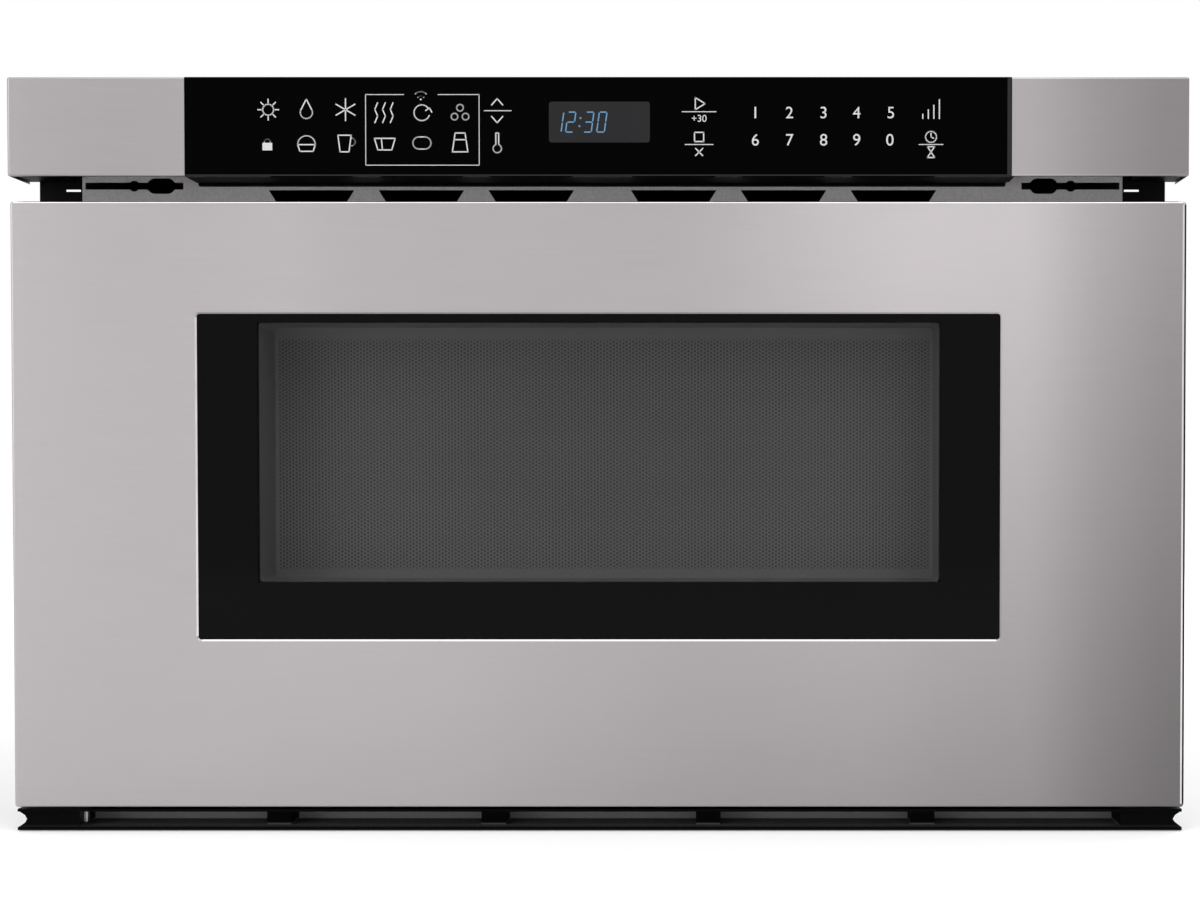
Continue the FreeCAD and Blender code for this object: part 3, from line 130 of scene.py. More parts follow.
def distance(tree, stretch, centre):
    """How far the stretched object coordinates are from a point."""
    return node(tree, "ShaderNodeVectorMath", {0: coordinates(tree, stretch), 1: centre},
                operation="DISTANCE").outputs["Value"]


def noise(tree, scale, detail=3.0):
    """A noise pattern with its own scale along each axis."""
    return node(tree, "ShaderNodeTexNoise", {
        "Vector": coordinates(tree, scale), "Scale": 1.0, "Detail": detail}).outputs["Fac"]


def spread(tree, value, low, high, start=0.0, end=1.0, ease="LINEAR"):
    """A value mapped from one range to another, held at its ends."""
    return node(tree, "ShaderNodeMapRange", {
        "Value": value, "From Min": start, "From Max": end, "To Min": low, "To Max": high},
        interpolation_type=ease).outputs["Result"]


def graded(tree, pattern, low, high):
    """A noise pattern mapped to a range."""
    return spread(tree, pattern, low, high, NOISE_LOW, NOISE_HIGH)


def reckon(tree, operation, *values):
    """An operation on one or two values, such as ADD, MULTIPLY, MAXIMUM or ABSOLUTE."""
    return node(tree, "ShaderNodeMath", dict(enumerate(values)), operation=operation).outputs[0]


def blended(tree, factor, first, second):
    """Two values blended by a factor."""
    return node(tree, "ShaderNodeMix", {0: factor, 2: first, 3: second}, data_type="FLOAT").outputs[0]


def mixed(tree, factor, first, second):
    """Two colours mixed by a factor."""
    return node(tree, "ShaderNodeMix", {0: factor, 6: first, 7: second}, data_type="RGBA").outputs[2]


def toned(tree, colour, tone):
    """A colour times a tone."""
    return node(tree, "ShaderNodeVectorMath", {0: colour, "Scale": tone},
                operation="SCALE").outputs["Vector"]


def shade(colour, amount=1.0):
    """A colour made lighter or darker."""
    return tuple(min(1.0, c * amount) for c in colour[:3]) + (1,)


def dress(tree, shader, colour, roughness, height, strength, depth):
    """Links colour and roughness to the shader, and moves its normal by a height."""
    tree.links.new(colour, shader.inputs["Base Color"])
    tree.links.new(roughness, shader.inputs["Roughness"])
    bump = node(tree, "ShaderNodeBump", {"Height": height, "Strength": strength, "Distance": depth})
    tree.links.new(bump.outputs["Normal"], shader.inputs["Normal"])


def set_values(shader, values):
    """Plain values on the shader's own sockets."""
    for socket, value in values.items():
        shader.inputs[socket].default_value = value


def surface(name, colour, scale, contrast, roughness, bump, detail=3.0, **values):
    """A finish whose colour, roughness and relief follow one noise pattern."""
    material, tree, shader = new_material(name)
    pattern = noise(tree, scale, detail)
    factor = graded(tree, pattern, 0.0, 1.0)
    paint = mixed(tree, factor, shade(colour, 1 - contrast), shade(colour, 1 + contrast))
    dress(tree, shader, paint, graded(tree, pattern, *roughness), pattern, *bump)
    set_values(shader, values)
    return material


# ---------------------------------------------------------------- finishes


def brushed_steel_with_painted_light(name, colour):
    """Stainless steel brushed from side to side, with painted light and shade: a painted sheen right of the
    middle, painted shade at the right-hand edge, lower corner and top strip, and a painted lighter foot."""
    material, tree, shader = new_material(name)
    grain = noise(tree, (22, 1300, 1300), 4.0)
    across, _, up = places(tree)
    # Painted shade on the strip along the top, painted tone slopes across and up, and a painted sheen.
    on_shaded_strip = spread(tree, up, 0.0, 1.0, PANEL_FOOT - 0.002, PANEL_FOOT)
    level = spread(tree, up, *PAINTED_SLOPE_LEVELS)
    sheen = reckon(tree, "MULTIPLY", spread(tree, across, *PAINTED_SHEEN_START, ease="SMOOTHSTEP"),
                   spread(tree, across, *PAINTED_SHEEN_END, ease="SMOOTHSTEP"))
    tone = graded(tree, grain, 0.985, 1.015)
    # The grain and the broad cloud are the steel's own tone; every other factor here is painted light or
    # shade.
    for part in (
            blended(tree, on_shaded_strip, 1.0, spread(tree, across, *PAINTED_STRIP_SHADE)),
            blended(tree, level, spread(tree, across, *PAINTED_LOWER_SLOPE), spread(tree, across, *PAINTED_UPPER_SLOPE)),
            spread(tree, up, *PAINTED_RISE),
            reckon(tree, "ADD", sheen, 1.0),
            spread(tree, across, *PAINTED_EDGE_SHADE, ease="SMOOTHSTEP"),
            graded(tree, noise(tree, (5, 2, 3), 1.0), 0.965, 1.035),
            spread(tree, distance(tree, PAINTED_CORNER_STRETCH, PAINTED_CORNER_PLACE), *PAINTED_CORNER_SHADE, ease="SMOOTHSTEP")):
        tone = reckon(tree, "MULTIPLY", tone, part)
    dress(tree, shader, toned(tree, colour, tone), graded(tree, grain, 0.30, 0.34), grain, 0.05, 0.00002)
    set_values(shader, {"Metallic": 1.0})
    return material


def rolled_steel(name, colour, scale, roughness):
    """Bright plated steel with fine rolling marks."""
    return surface(name, colour, scale, 0.08, roughness, (0.08, 0.00003), Metallic=1.0)


def painted_sheet(name, colour, roughness=(0.38, 0.5), **values):
    """Sheet steel under a thin, slightly pebbled paint."""
    return surface(name, colour, (900, 900, 900), 0.10, roughness, (0.12, 0.00004), **values)


def moulded_plastic(name, colour, **values):
    """Moulded plastic with a fine spark-eroded grain."""
    return surface(name, colour, (1800, 1800, 1800), 0.08, (0.42, 0.55), (0.18, 0.00004), detail=2.0,
                   **values)


def base_moulding(name, colour, ledge_sheen_colour, ledge_sheen_from, ledge_sheen_below):
    """Black moulding that is paler behind its front lip and below a height, where its ledge lies: a painted
    sheen on the ledge's top.
    """
    material, tree, shader = new_material(name)
    _, back, up = places(tree)
    # Painted sheen on the ledge's top, behind the lip and below a height.
    ledge_sheen = reckon(tree, "MULTIPLY", spread(tree, back, 0.0, 1.0, ledge_sheen_from, ledge_sheen_from + 0.012),
                  spread(tree, up, 1.0, 0.0, ledge_sheen_below + 0.0001, ledge_sheen_below + 0.0004))
    fine = noise(tree, (1800, 1800, 1800), 2.0)
    black = mixed(tree, fine, shade(colour, 0.92), shade(colour, 1.08))
    dress(tree, shader, mixed(tree, ledge_sheen, black, shade(ledge_sheen_colour)), graded(tree, fine, 0.42, 0.55),
          fine, 0.18, 0.00004)
    set_values(shader, {"Specular IOR Level": 0.02})
    return material


def frame_paint_with_painted_shade(name, colour, painted_foot_shade):
    """Grey painted sheet, with painted shade that makes it darker at its foot behind the base moulding."""
    material, tree, shader = new_material(name)
    _, _, up = places(tree)
    pebbles = noise(tree, (900, 900, 900))
    paint = mixed(tree, graded(tree, pebbles, 0.0, 1.0), shade(colour, 0.9), shade(colour, 1.1))
    # Painted shade at the foot, in the recess behind the base moulding.
    foot = spread(tree, up, painted_foot_shade, 1.0, 0.011, 0.014)
    dress(tree, shader, toned(tree, paint, foot), graded(tree, pebbles, 0.38, 0.5), pebbles, 0.12, 0.00004)
    return material


def galvanised_sheet(name, colour):
    """Zinc-coated sheet with its crystal spangle."""
    material, tree, shader = new_material(name)
    cells = node(tree, "ShaderNodeTexVoronoi", {"Vector": coordinates(tree), "Scale": 110.0})
    tone = node(tree, "ShaderNodeSeparateColor", {"Color": cells.outputs["Color"]}).outputs["Red"]
    fine = noise(tree, (700, 700, 700))
    paint = mixed(tree, tone, shade(colour, 0.86), shade(colour, 1.08))
    dress(tree, shader, paint, spread(tree, tone, 0.34, 0.48), fine, 0.06, 0.00003)
    set_values(shader, {"Metallic": 0.9})
    return material


def speckled_enamel(name, colour):
    """Fired enamel with fine dark and pale specks."""
    material, tree, shader = new_material(name)
    grains = noise(tree, (1500, 1500, 1500), 1.0)
    dark = spread(tree, grains, 1.0, 0.0, 0.32, 0.38)
    pale = spread(tree, grains, 0.0, 1.0, 0.66, 0.72)
    base = mixed(tree, dark, shade(colour), shade(colour, 0.5))
    waves = noise(tree, (120, 120, 120))
    dress(tree, shader, mixed(tree, pale, base, shade(colour, 1.35)), spread(tree, waves, 0.14, 0.22),
          waves, 0.05, 0.0001)
    set_values(shader, {"Coat Weight": 0.4, "Coat Roughness": 0.08})
    return material


def perforated_screen(name, sheet_colour, hole_colour, face):
    """Painted sheet with staggered round holes inside a field; its margin is plain, its folded sides carry
    painted shade, and it is painted lighter towards the field's edges against the recess's shade.
    """
    half = SCREEN_HALF - FIELD_SIDE
    low, high = SCREEN_BOTTOM + FIELD_FOOT, SCREEN_TOP - FIELD_HEAD
    material, tree, shader = new_material(name)
    wave = 4 * math.pi / (math.sqrt(3) * SCREEN_PITCH)
    ripples = []
    for turn in (0, math.pi / 3, 2 * math.pi / 3):
        along = (wave * math.cos(turn), 0, wave * math.sin(turn))
        phase = node(tree, "ShaderNodeVectorMath", {0: coordinates(tree), 1: along}, operation="DOT_PRODUCT")
        ripples.append(reckon(tree, "COSINE", phase.outputs["Value"]))
    hole = reckon(tree, "ADD", reckon(tree, "ADD", ripples[0], ripples[1]), ripples[2])
    hole = spread(tree, hole, 0.0, 1.0, 0.1, 0.9)
    across, back, up = places(tree)
    for value, start, end in (
            (reckon(tree, "ABSOLUTE", across), half + 0.001, half), (up, low, low + 0.002),
            (up, high + 0.003, high), (back, face - 0.001, face)):
        hole = reckon(tree, "MULTIPLY", hole, spread(tree, value, 0.0, 1.0, start, end))
    fine = noise(tree, (900, 900, 900))
    sheet = mixed(tree, fine, shade(sheet_colour, 0.93), shade(sheet_colour, 1.07))
    # Painted shade on the folded sides, down in the recess.
    fold_shade = spread(tree, back, 0.68, 1.0, face - 0.001, face)
    sheet = mixed(tree, fold_shade, (0, 0, 0, 1), sheet)
    # Painted light: the sheet grows lighter towards the field's edges, where the recess shades it.
    rise = (high - low) / 2
    off_middle = distance(tree, (1 / half, 0, 1 / rise), (0, 0, (low + rise) / rise))
    rim = spread(tree, off_middle, 1.0, 1.5, 0.4, 1.4)
    dress(tree, shader, toned(tree, mixed(tree, hole, sheet, shade(hole_colour)), rim),
          spread(tree, fine, 0.45, 0.55), spread(tree, hole, 1.0, 0.0), 0.4, 0.0002)
    return material


def tinted_window(name, colour):
    """Dark glass that is painted black round a clear middle, through which the screen is seen."""
    soft = 0.0004
    clear = 0.22
    material, tree, shader = new_material(name)
    across, _, up = places(tree)
    middle, reach = (SCREEN_BOTTOM + SCREEN_TOP) / 2, (SCREEN_TOP - SCREEN_BOTTOM) / 2
    side = reckon(tree, "ABSOLUTE", across)
    rise = reckon(tree, "ABSOLUTE", reckon(tree, "SUBTRACT", up, middle))
    painted = reckon(tree, "MAXIMUM", spread(tree, side, 0.0, 1.0, SCREEN_HALF - soft, SCREEN_HALF + soft),
                     spread(tree, rise, 0.0, 1.0, reach - soft, reach + soft))
    tree.links.new(spread(tree, painted, clear, 1.0), shader.inputs["Alpha"])
    haze = noise(tree, (60, 60, 60))
    tree.links.new(mixed(tree, haze, shade(colour, 0.9), shade(colour, 1.1)), shader.inputs["Base Color"])
    tree.links.new(spread(tree, haze, 0.03, 0.06), shader.inputs["Roughness"])
    set_values(shader, {"Specular IOR Level": 0.045})
    return material


def gloss_glass(name, colour, roughness, **values):
    """Polished glass with a faint unevenness."""
    return surface(name, colour, (50, 50, 50), 0.08, roughness, (0.01, 0.00005), **values)


def laminations(name, colour):
    """Varnished steel laminations, stacked from side to side."""
    return surface(name, colour, (1400, 6, 6), 0.35, (0.35, 0.5), (0.35, 0.0002), Metallic=0.5)


def circuit_board(name, colour):
    """A lacquered board with its copper tracks."""
    material, tree, shader = new_material(name)
    tracks = node(tree, "ShaderNodeTexBrick", {
        "Vector": coordinates(tree, turn=(math.pi / 2, 0, 0)), "Scale": 60.0, "Mortar Size": 0.02,
        "Color1": shade(colour), "Color2": shade(colour, 1.15), "Mortar": shade(colour, 2.2)})
    tree.links.new(tracks.outputs["Color"], shader.inputs["Base Color"])
    tree.links.new(spread(tree, noise(tree, (300, 300, 300)), 0.25, 0.35), shader.inputs["Roughness"])
    return material


def dull_light(name, colour, strength):
    """The lit bars of the display."""
    material, tree, shader = new_material(name)
    glow = mixed(tree, noise(tree, (900, 900, 900)), shade(colour, 0.9), shade(colour, 1.1))
    tree.links.new(glow, shader.inputs["Emission Color"])
    tree.links.new(glow, shader.inputs["Base Color"])
    set_values(shader, {"Emission Strength": strength, "Roughness": 0.4})
    return material


def shine(level):
    """The shader's value for how strongly a finish reflects."""
    return {"Specular IOR Level": level}


skin_low, skin_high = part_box("drawer_skin")
grille_low, grille_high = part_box("lower_grille")
front_face = skin_low.y

finishes = {
    # The steel front carries painted light and shade in its tone.
    "brushed_stainless": brushed_steel_with_painted_light("brushed_stainless", (0.345, 0.325, 0.33)),
    "galvanised_sheet": galvanised_sheet("galvanised_sheet", (0.31, 0.315, 0.32)),
    # The frame's foot carries painted shade.
    "frame_grey": frame_paint_with_painted_shade("frame_grey", (0.70, 0.685, 0.69), 0.6),
    "black_enamel": painted_sheet("black_enamel", (0.0035, 0.0035, 0.004), (0.42, 0.5), **shine(0.05)),
    "cavity_enamel": speckled_enamel("cavity_enamel", (0.30, 0.30, 0.31)),
    # The screen carries painted shade on its folded sides and painted light towards its edges.
    "screen_steel": perforated_screen("screen_steel", (0.178, 0.175, 0.176), (0.064, 0.063, 0.064),
                                      front_face + SCREEN_SETBACK),
    "black_glass": gloss_glass("black_glass", (0.001, 0.001, 0.0011), (0.03, 0.06), **shine(0.01)),
    "clear_glass": gloss_glass("clear_glass", (0.80, 0.82, 0.82), (0.02, 0.04), **{
        "Transmission Weight": 0.85, "IOR": 1.45}),
    "glass_ceramic": gloss_glass("glass_ceramic", (0.74, 0.74, 0.71), (0.12, 0.2)),
    "black_moulding": moulded_plastic("black_moulding", (0.009, 0.009, 0.0095), **shine(0.25)),
    "pale_moulding": moulded_plastic("pale_moulding", (0.66, 0.65, 0.61)),
    "bright_steel": rolled_steel("bright_steel", (0.60, 0.61, 0.62), (500, 12, 500), (0.25, 0.38)),
    "motor_metal": rolled_steel("motor_metal", (0.50, 0.51, 0.52), (200, 200, 200), (0.32, 0.45)),
    "transformer_iron": laminations("transformer_iron", (0.10, 0.075, 0.06)),
    "circuit_board": circuit_board("circuit_board", (0.03, 0.16, 0.06)),
}
ink_finish = moulded_plastic("panel_ink", (0.62, 0.62, 0.62))
pane_finish = gloss_glass("display_tint", (0.021, 0.021, 0.0225), (0.08, 0.12), **shine(0.08))
digit_finish = dull_light("display_blue", (0.08, 0.19, 0.32), 0.42)
# The panel's rim is a painted highlight on its edges.
rim_highlight_finish = moulded_plastic("panel_rim_highlight", (0.022, 0.021, 0.022), **shine(0.1))
# Also used for the painted shade on the round of the drawer's right-hand edge.
housing_finish = moulded_plastic("housing_black", (0.0024, 0.0024, 0.0026), **shine(0.02))
# Painted highlights on the drawer front's edges.
edge_highlight_finish = rolled_steel("painted_edge_highlight", (0.68, 0.67, 0.67), (60, 60, 60), (0.16, 0.22))
screw_finish = rolled_steel("screw_zinc", (0.40, 0.41, 0.42), (400, 400, 400), (0.25, 0.4))

# These nodes have a finish of their own in place of their slot's.
own_finishes = {
    "window_glass": tinted_window("window_tint", (0.003, 0.003, 0.0032)),
    # The base moulding's paler ledge is a painted sheen.
    "lower_grille": base_moulding("base_black", (0.0024, 0.0024, 0.0026), (0.15, 0.145, 0.147),
                                  grille_low.y + 0.001, 0.0021),
    "control_housing": housing_finish,
}


def finish_nodes():
    """Each carried-over node gets its finish."""
    for part in frame["record"]["subparts"]:
        materials = frame["nodes"][part["node"]].data.materials
        materials.clear()
        materials.append(own_finishes.get(part["node"], finishes[part["material_slot"]]))


# ---------------------------------------------------------------- piece tools


def piece(name, shape, finish, body):
    """A finished piece from a bmesh, riding on a body."""
    mesh = bpy.data.meshes.new(name)
    bmesh.ops.recalc_face_normals(shape, faces=shape.faces)
    shape.to_mesh(mesh)
    shape.free()
    mesh.materials.append(finish)
    made = bpy.data.objects.new(name, mesh)
    bpy.context.scene.collection.objects.link(made)
    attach(made, body)


def block(shape, centre, size, turn=None):
    """A block added to a shape, turned if a turn is given."""
    place = Matrix.Translation(centre)
    if turn is not None:
        place = place @ turn
    bmesh.ops.create_cube(shape, size=1.0, matrix=place @ Matrix.Diagonal((*size, 1)))


def round_edges(shape, axis, least, radius, segments):
    """Rounds the edges that run along an axis and are longer than a least length."""
    edges = [e for e in shape.edges if abs(e.verts[0].co[axis] - e.verts[1].co[axis]) > least]
    bmesh.ops.bevel(shape, geom=edges, offset=radius, segments=segments, profile=0.5, affect="EDGES",
                    material=-1)


# ---------------------------------------------------------------- panel

panel_low, panel_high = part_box("control_glass")
panel_face = panel_low.y
INK = 0.00008
STROKE = 0.0006
END_LAP = 0.6
LETTER_SCALE = 1.4
ARC_SIDES = 14


def on_panel(x, y):
    """The place on the panel, across and up, that a pixel of the front shows."""
    return (x - FRONT_MIDDLE) * PIXEL, (FRONT_BOTTOM - y) * PIXEL


def flat_block(shape, centre, size, turn=0.0):
    """A thin raised block on the panel, turned in its plane."""
    block(shape, (centre[0], panel_face - INK / 2, centre[1]), (size[0], INK * 2, size[1]),
          Matrix.Rotation(-turn, 4, "Y"))


def bar(shape, first, last, width=STROKE):
    """A straight stroke between two places on the panel."""
    run = Vector(last) - Vector(first)
    middle = (Vector(last) + Vector(first)) / 2
    flat_block(shape, middle, (run.length + width * END_LAP, width), math.atan2(run.y, run.x))


def bars(shape, points, width=STROKE):
    """Strokes from each place to the next."""
    for first, last in zip(points, points[1:]):
        bar(shape, first, last, width)


def arc(shape, centre, radius, start, end):
    """A curved stroke made of short ones."""
    angles = [math.radians(start + (end - start) * n / ARC_SIDES) for n in range(ARC_SIDES + 1)]
    bars(shape, [(centre[0] + radius * math.cos(a), centre[1] + radius * math.sin(a)) for a in angles])


def mark(shape, x, y, size, strokes):
    """A small sign at a pixel, drawn in a unit square: lines of points, rings and blocks."""
    middle = on_panel(x, y)
    reach = size * PIXEL

    def put(point):
        return middle[0] + point[0] * reach, middle[1] + point[1] * reach

    for stroke in strokes:
        if stroke[0] == "block":
            flat_block(shape, put(stroke[1:3]), (stroke[3] * reach, stroke[4] * reach))
        elif stroke[0] == "ring":
            cx, cz, radius, start, end = stroke[1:]
            arc(shape, put((cx, cz)), radius * reach, start, end)
        else:
            bars(shape, [put(point) for point in stroke])


COG = [("ring", 0, 0, 0.5, 0, 360)] + [
    [(math.cos(a) * 0.62, math.sin(a) * 0.62), (math.cos(a) * 0.95, math.sin(a) * 0.95)]
    for a in [n * math.pi / 4 for n in range(8)]]
PADLOCK = [("block", 0, -0.4, 1.5, 1.15), ("ring", 0, 0.25, 0.45, 0, 180)]
DROP = [("ring", 0, -0.25, 0.55, 160, 380), [(-0.52, -0.06), (0, 0.95), (0.52, -0.06)]]
BUN = [("ring", 0, -0.15, 0.8, 0, 180),
       [(-0.8, -0.15), (-0.6, -0.75), (0.6, -0.75), (0.8, -0.15), (-0.8, -0.15)]]
SNOW = [[(math.cos(a), math.sin(a)), (-math.cos(a), -math.sin(a))] for a in (0.52, 1.57, 2.62)]
CUP = [[(-0.7, 0.7), (-0.5, -0.8), (0.3, -0.8), (0.5, 0.7), (-0.7, 0.7)],
       ("ring", 0.5, 0.1, 0.35, -80, 80)]
HEAT = [[(x, -0.9), (x + 0.25, -0.3), (x, 0.3), (x + 0.25, 0.9)] for x in (-0.8, -0.1, 0.6)]
TURN = [("ring", 0, 0, 0.75, 40, 340), [(0.35, 0.2), (0.72, 0.45), (0.95, 0.05)]]
KERNELS = [("ring", x, z, 0.3, 0, 360) for x, z in ((-0.5, -0.35), (0.5, -0.35), (0, 0.45))]
TRAY = [[(-0.9, 0.4), (0.9, 0.4), (0.6, -0.6), (-0.6, -0.6), (-0.9, 0.4)],
        [(-0.3, 0.4), (-0.2, -0.6)]]
OVAL = [("ring", -0.25, 0, 0.5, 90, 270), ("ring", 0.25, 0, 0.5, -90, 90),
        [(-0.25, 0.5), (0.25, 0.5)], [(-0.25, -0.5), (0.25, -0.5)]]
BAG = [[(-0.45, 0.9), (-0.7, -0.8), (0.7, -0.8), (0.45, 0.9), (-0.45, 0.9)],
       [(-0.55, 0.3), (0.55, 0.3)]]
SENSE = [("ring", 0, -1.0, 0.9, 40, 140), ("ring", 0, -1.0, 1.9, 48, 132),
         ("block", 0, -0.9, 0.35, 0.35)]
UP = [[(-0.7, -0.3), (0, 0.5), (0.7, -0.3)]]
DOWN = [[(-0.7, 0.3), (0, -0.5), (0.7, 0.3)]]
WARM = [("ring", 0, -0.5, 0.38, 110, 430), [(-0.13, -0.15), (-0.13, 0.9), (0.13, 0.9), (0.13, -0.15)]]
PLAY = [[(-0.5, -0.8), (-0.5, 0.8), (0.8, 0), (-0.5, -0.8)]]
STOP = [[(-0.65, -0.65), (0.65, -0.65), (0.65, 0.65), (-0.65, 0.65), (-0.65, -0.65)]]
CROSS = [[(-0.6, -0.6), (0.6, 0.6)], [(-0.6, 0.6), (0.6, -0.6)]]
LEVELS = [[(x, -0.8), (x, z)] for x, z in ((-0.75, -0.4), (-0.25, 0.0), (0.25, 0.4), (0.75, 0.9))]
CLOCK = [("ring", 0, 0, 0.85, 0, 360), [(0, 0.55), (0, 0), (0.4, -0.2)]]
SAND_TIMER = [[(-0.6, 0.9), (0.6, 0.9), (-0.6, -0.9), (0.6, -0.9), (-0.6, 0.9)]]

# Pixel across, pixel down, half size in pixels, and the sign.
MARKS = (
    (269, 110, 11, COG), (268, 144, 6.5, PADLOCK), (307, 110, 11, DROP), (307, 143, 11, BUN),
    (346, 110, 11, SNOW), (346, 143, 11, CUP), (384, 113, 11, HEAT), (422, 113, 10.5, TURN),
    (460, 113, 11, KERNELS), (385, 143, 11.5, TRAY), (422, 143, 12, OVAL), (460, 143, 11, BAG),
    (421, 96, 4.2, SENSE), (497, 103, 8, UP), (497, 119, 8, DOWN), (497, 143, 11, WARM),
    (698, 104, 7.5, PLAY), (698, 137, 7, STOP), (698, 152, 6, CROSS), (929, 110, 11, LEVELS),
    (929, 137, 6.5, CLOCK), (929, 152, 6, SAND_TIMER))
DIVIDERS = ((484, 511, 111), (681, 715, 112), (684, 712, 144.5), (917, 941, 144.5))
GROUP_LINE = ((404, 95), (366, 95), (366, 165), (479, 165), (479, 95), (438, 95))
DIGIT_ROWS = (
    (113.5, (("1", 754), ("2", 788), ("3", 822), ("4", 855), ("5", 889))),
    (140.5, (("6", 754), ("7", 788), ("8", 822), ("9", 855), ("0", 888))))


def panel_marks():
    """The white signs of the touch panel, where the printed words of such a panel would be."""
    shape = bmesh.new()
    for x, y, size, strokes in MARKS:
        mark(shape, x, y, size, strokes)
    for x0, x1, y in DIVIDERS:
        bar(shape, on_panel(x0, y), on_panel(x1, y), STROKE * 0.7)
    piece("panel_marks", shape, ink_finish, "case")


def panel_group_line():
    """The thin line round a group of six signs, broken above for the sign of the group."""
    shape = bmesh.new()
    bars(shape, [on_panel(*corner) for corner in GROUP_LINE], STROKE * 0.6)
    piece("panel_group_line", shape, ink_finish, "case")


def panel_rim_highlight():
    """The dark rim of the touch panel, which shows at its right-hand end and along its foot: a painted
    highlight for the panel's lit edges.
    """
    wide, thin, inset = 0.0022, 0.0009, 0.0002
    shape = bmesh.new()
    for x0, x1, z0, z1 in (
            (panel_high.x - wide, panel_high.x - inset, panel_low.z + inset, panel_high.z - 0.0003),
            (panel_low.x + 0.0003, panel_high.x - wide, panel_low.z + inset, panel_low.z + thin)):
        block(shape, ((x0 + x1) / 2, panel_face - INK / 8, (z0 + z1) / 2), (x1 - x0, INK / 2, z1 - z0))
    piece("panel_rim_highlight", shape, rim_highlight_finish, "case")


def number(name, text, x, y, height):
    """A plain number printed on the panel."""
    curve = bpy.data.curves.new(name, "FONT")
    curve.body = text
    curve.size = height * PIXEL * LETTER_SCALE
    curve.align_x, curve.align_y = "CENTER", "CENTER"
    curve.extrude = INK
    drawn = bpy.data.objects.new(name, curve)
    bpy.context.scene.collection.objects.link(drawn)
    bpy.context.view_layer.update()
    mesh = bpy.data.meshes.new_from_object(drawn)
    bpy.data.objects.remove(drawn)
    across, up = on_panel(x, y)
    upright = Matrix.Rotation(math.pi / 2, 4, "X")
    mesh.transform(Matrix.Translation((across, panel_face - INK / 2, up)) @ upright)
    mesh.materials.clear()
    mesh.materials.append(ink_finish)
    made = bpy.data.objects.new(name, mesh)
    bpy.context.scene.collection.objects.link(made)
    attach(made, "case")


# ---------------------------------------------------------------- display

PANE_CORNERS = ((548.5, 102.0), (649.0, 142.5))
DIGIT_WIDE, DIGIT_TALL, DIGIT_LEAN = 7.6, 9.9, 0.14
DIGIT_FOOT = 132.2
DIGIT_STROKE, DIGIT_GAP, COLON_DOT = 0.00065, 0.0005, 0.0009
SHOWN = (("1", 553.0), ("2", 565.0), ("3", 583.0), ("0", 596.0))
COLON = (578.0, (0.6, 1.4))

# The ends of the seven bars of a digit, in widths and half heights, and the bars that are lit.
SEGMENTS = {
    "a": ((0, 2), (1, 2)), "b": ((1, 2), (1, 1)), "c": ((1, 1), (1, 0)), "d": ((0, 0), (1, 0)),
    "e": ((0, 0), (0, 1)), "f": ((0, 1), (0, 2)), "g": ((0, 1), (1, 1))}
LIT = {"0": "abcdef", "1": "bc", "2": "abged", "3": "abgcd"}


def in_digit(x, u, v):
    """The place on the panel of a point of a digit whose foot is at a pixel."""
    return on_panel(x + u * DIGIT_WIDE + v * DIGIT_TALL * DIGIT_LEAN, DIGIT_FOOT - v * DIGIT_TALL)


def display():
    """The dark pane of the display and its lit digits."""
    (left, top), (right, bottom) = [on_panel(*corner) for corner in PANE_CORNERS]
    shape = bmesh.new()
    block(shape, ((left + right) / 2, panel_face - INK / 4, (top + bottom) / 2),
          (right - left, INK, top - bottom))
    round_edges(shape, 1, INK / 2, 0.0015, 4)
    piece("display_pane", shape, pane_finish, "case")

    shape = bmesh.new()
    for digit, x in SHOWN:
        for segment in LIT[digit]:
            first, last = [Vector(in_digit(x, u, v)) for u, v in SEGMENTS[segment]]
            gap = (last - first).normalized() * DIGIT_GAP
            bar(shape, first + gap, last - gap, DIGIT_STROKE)
    for v in COLON[1]:
        flat_block(shape, in_digit(COLON[0], 0, v), (COLON_DOT, COLON_DOT))
    for vertex in shape.verts:
        vertex.co.y -= INK / 2
    piece("display_digits", shape, digit_finish, "case")


# ---------------------------------------------------------------- painted light and shade on the edges of the drawer front

WINDOW_HALF = 0.2075
WINDOW_BOTTOM = 0.0983
WINDOW_TOP = 0.2677
WINDOW_CORNER = 0.0026
BEVEL = 0.0008
SKIN_EDGE = 0.0012
HIGHLIGHT_INSET = 0.0020
LIFT = 0.00003
SINK = 0.0002


def band(shape, ends, outline):
    """A closed thin band between two ends, with an outline of points round its cross section."""
    rows = [[shape.verts.new(end + Vector(point)) for point in outline] for end in ends]
    count = len(outline)
    for n in range(count):
        follow = (n + 1) % count
        shape.faces.new((rows[0][n], rows[0][follow], rows[1][follow], rows[1][n]))
    for row in rows:
        shape.faces.new(row)


def bevel_outline(across):
    """The outline of a band on the window's bevel, which runs across to the opening and back."""
    back = Vector((0, BEVEL, 0))
    run = Vector(across) + back
    out = (Vector(across) - back).normalized()
    return [out * LIFT, run + out * LIFT, run - out * SINK, -out * SINK]


def round_outline(angles):
    """The outline of a band on the skin's round edge between two angles, each point a depth behind
    the face and a way out from the corner."""
    turns = [math.radians(a) for a in angles]
    points = []
    for reach, order in ((SKIN_EDGE + LIFT, turns), (SKIN_EDGE - SINK, reversed(turns))):
        points += [(SKIN_EDGE - reach * math.cos(a), reach * math.sin(a) - SKIN_EDGE) for a in order]
    return points


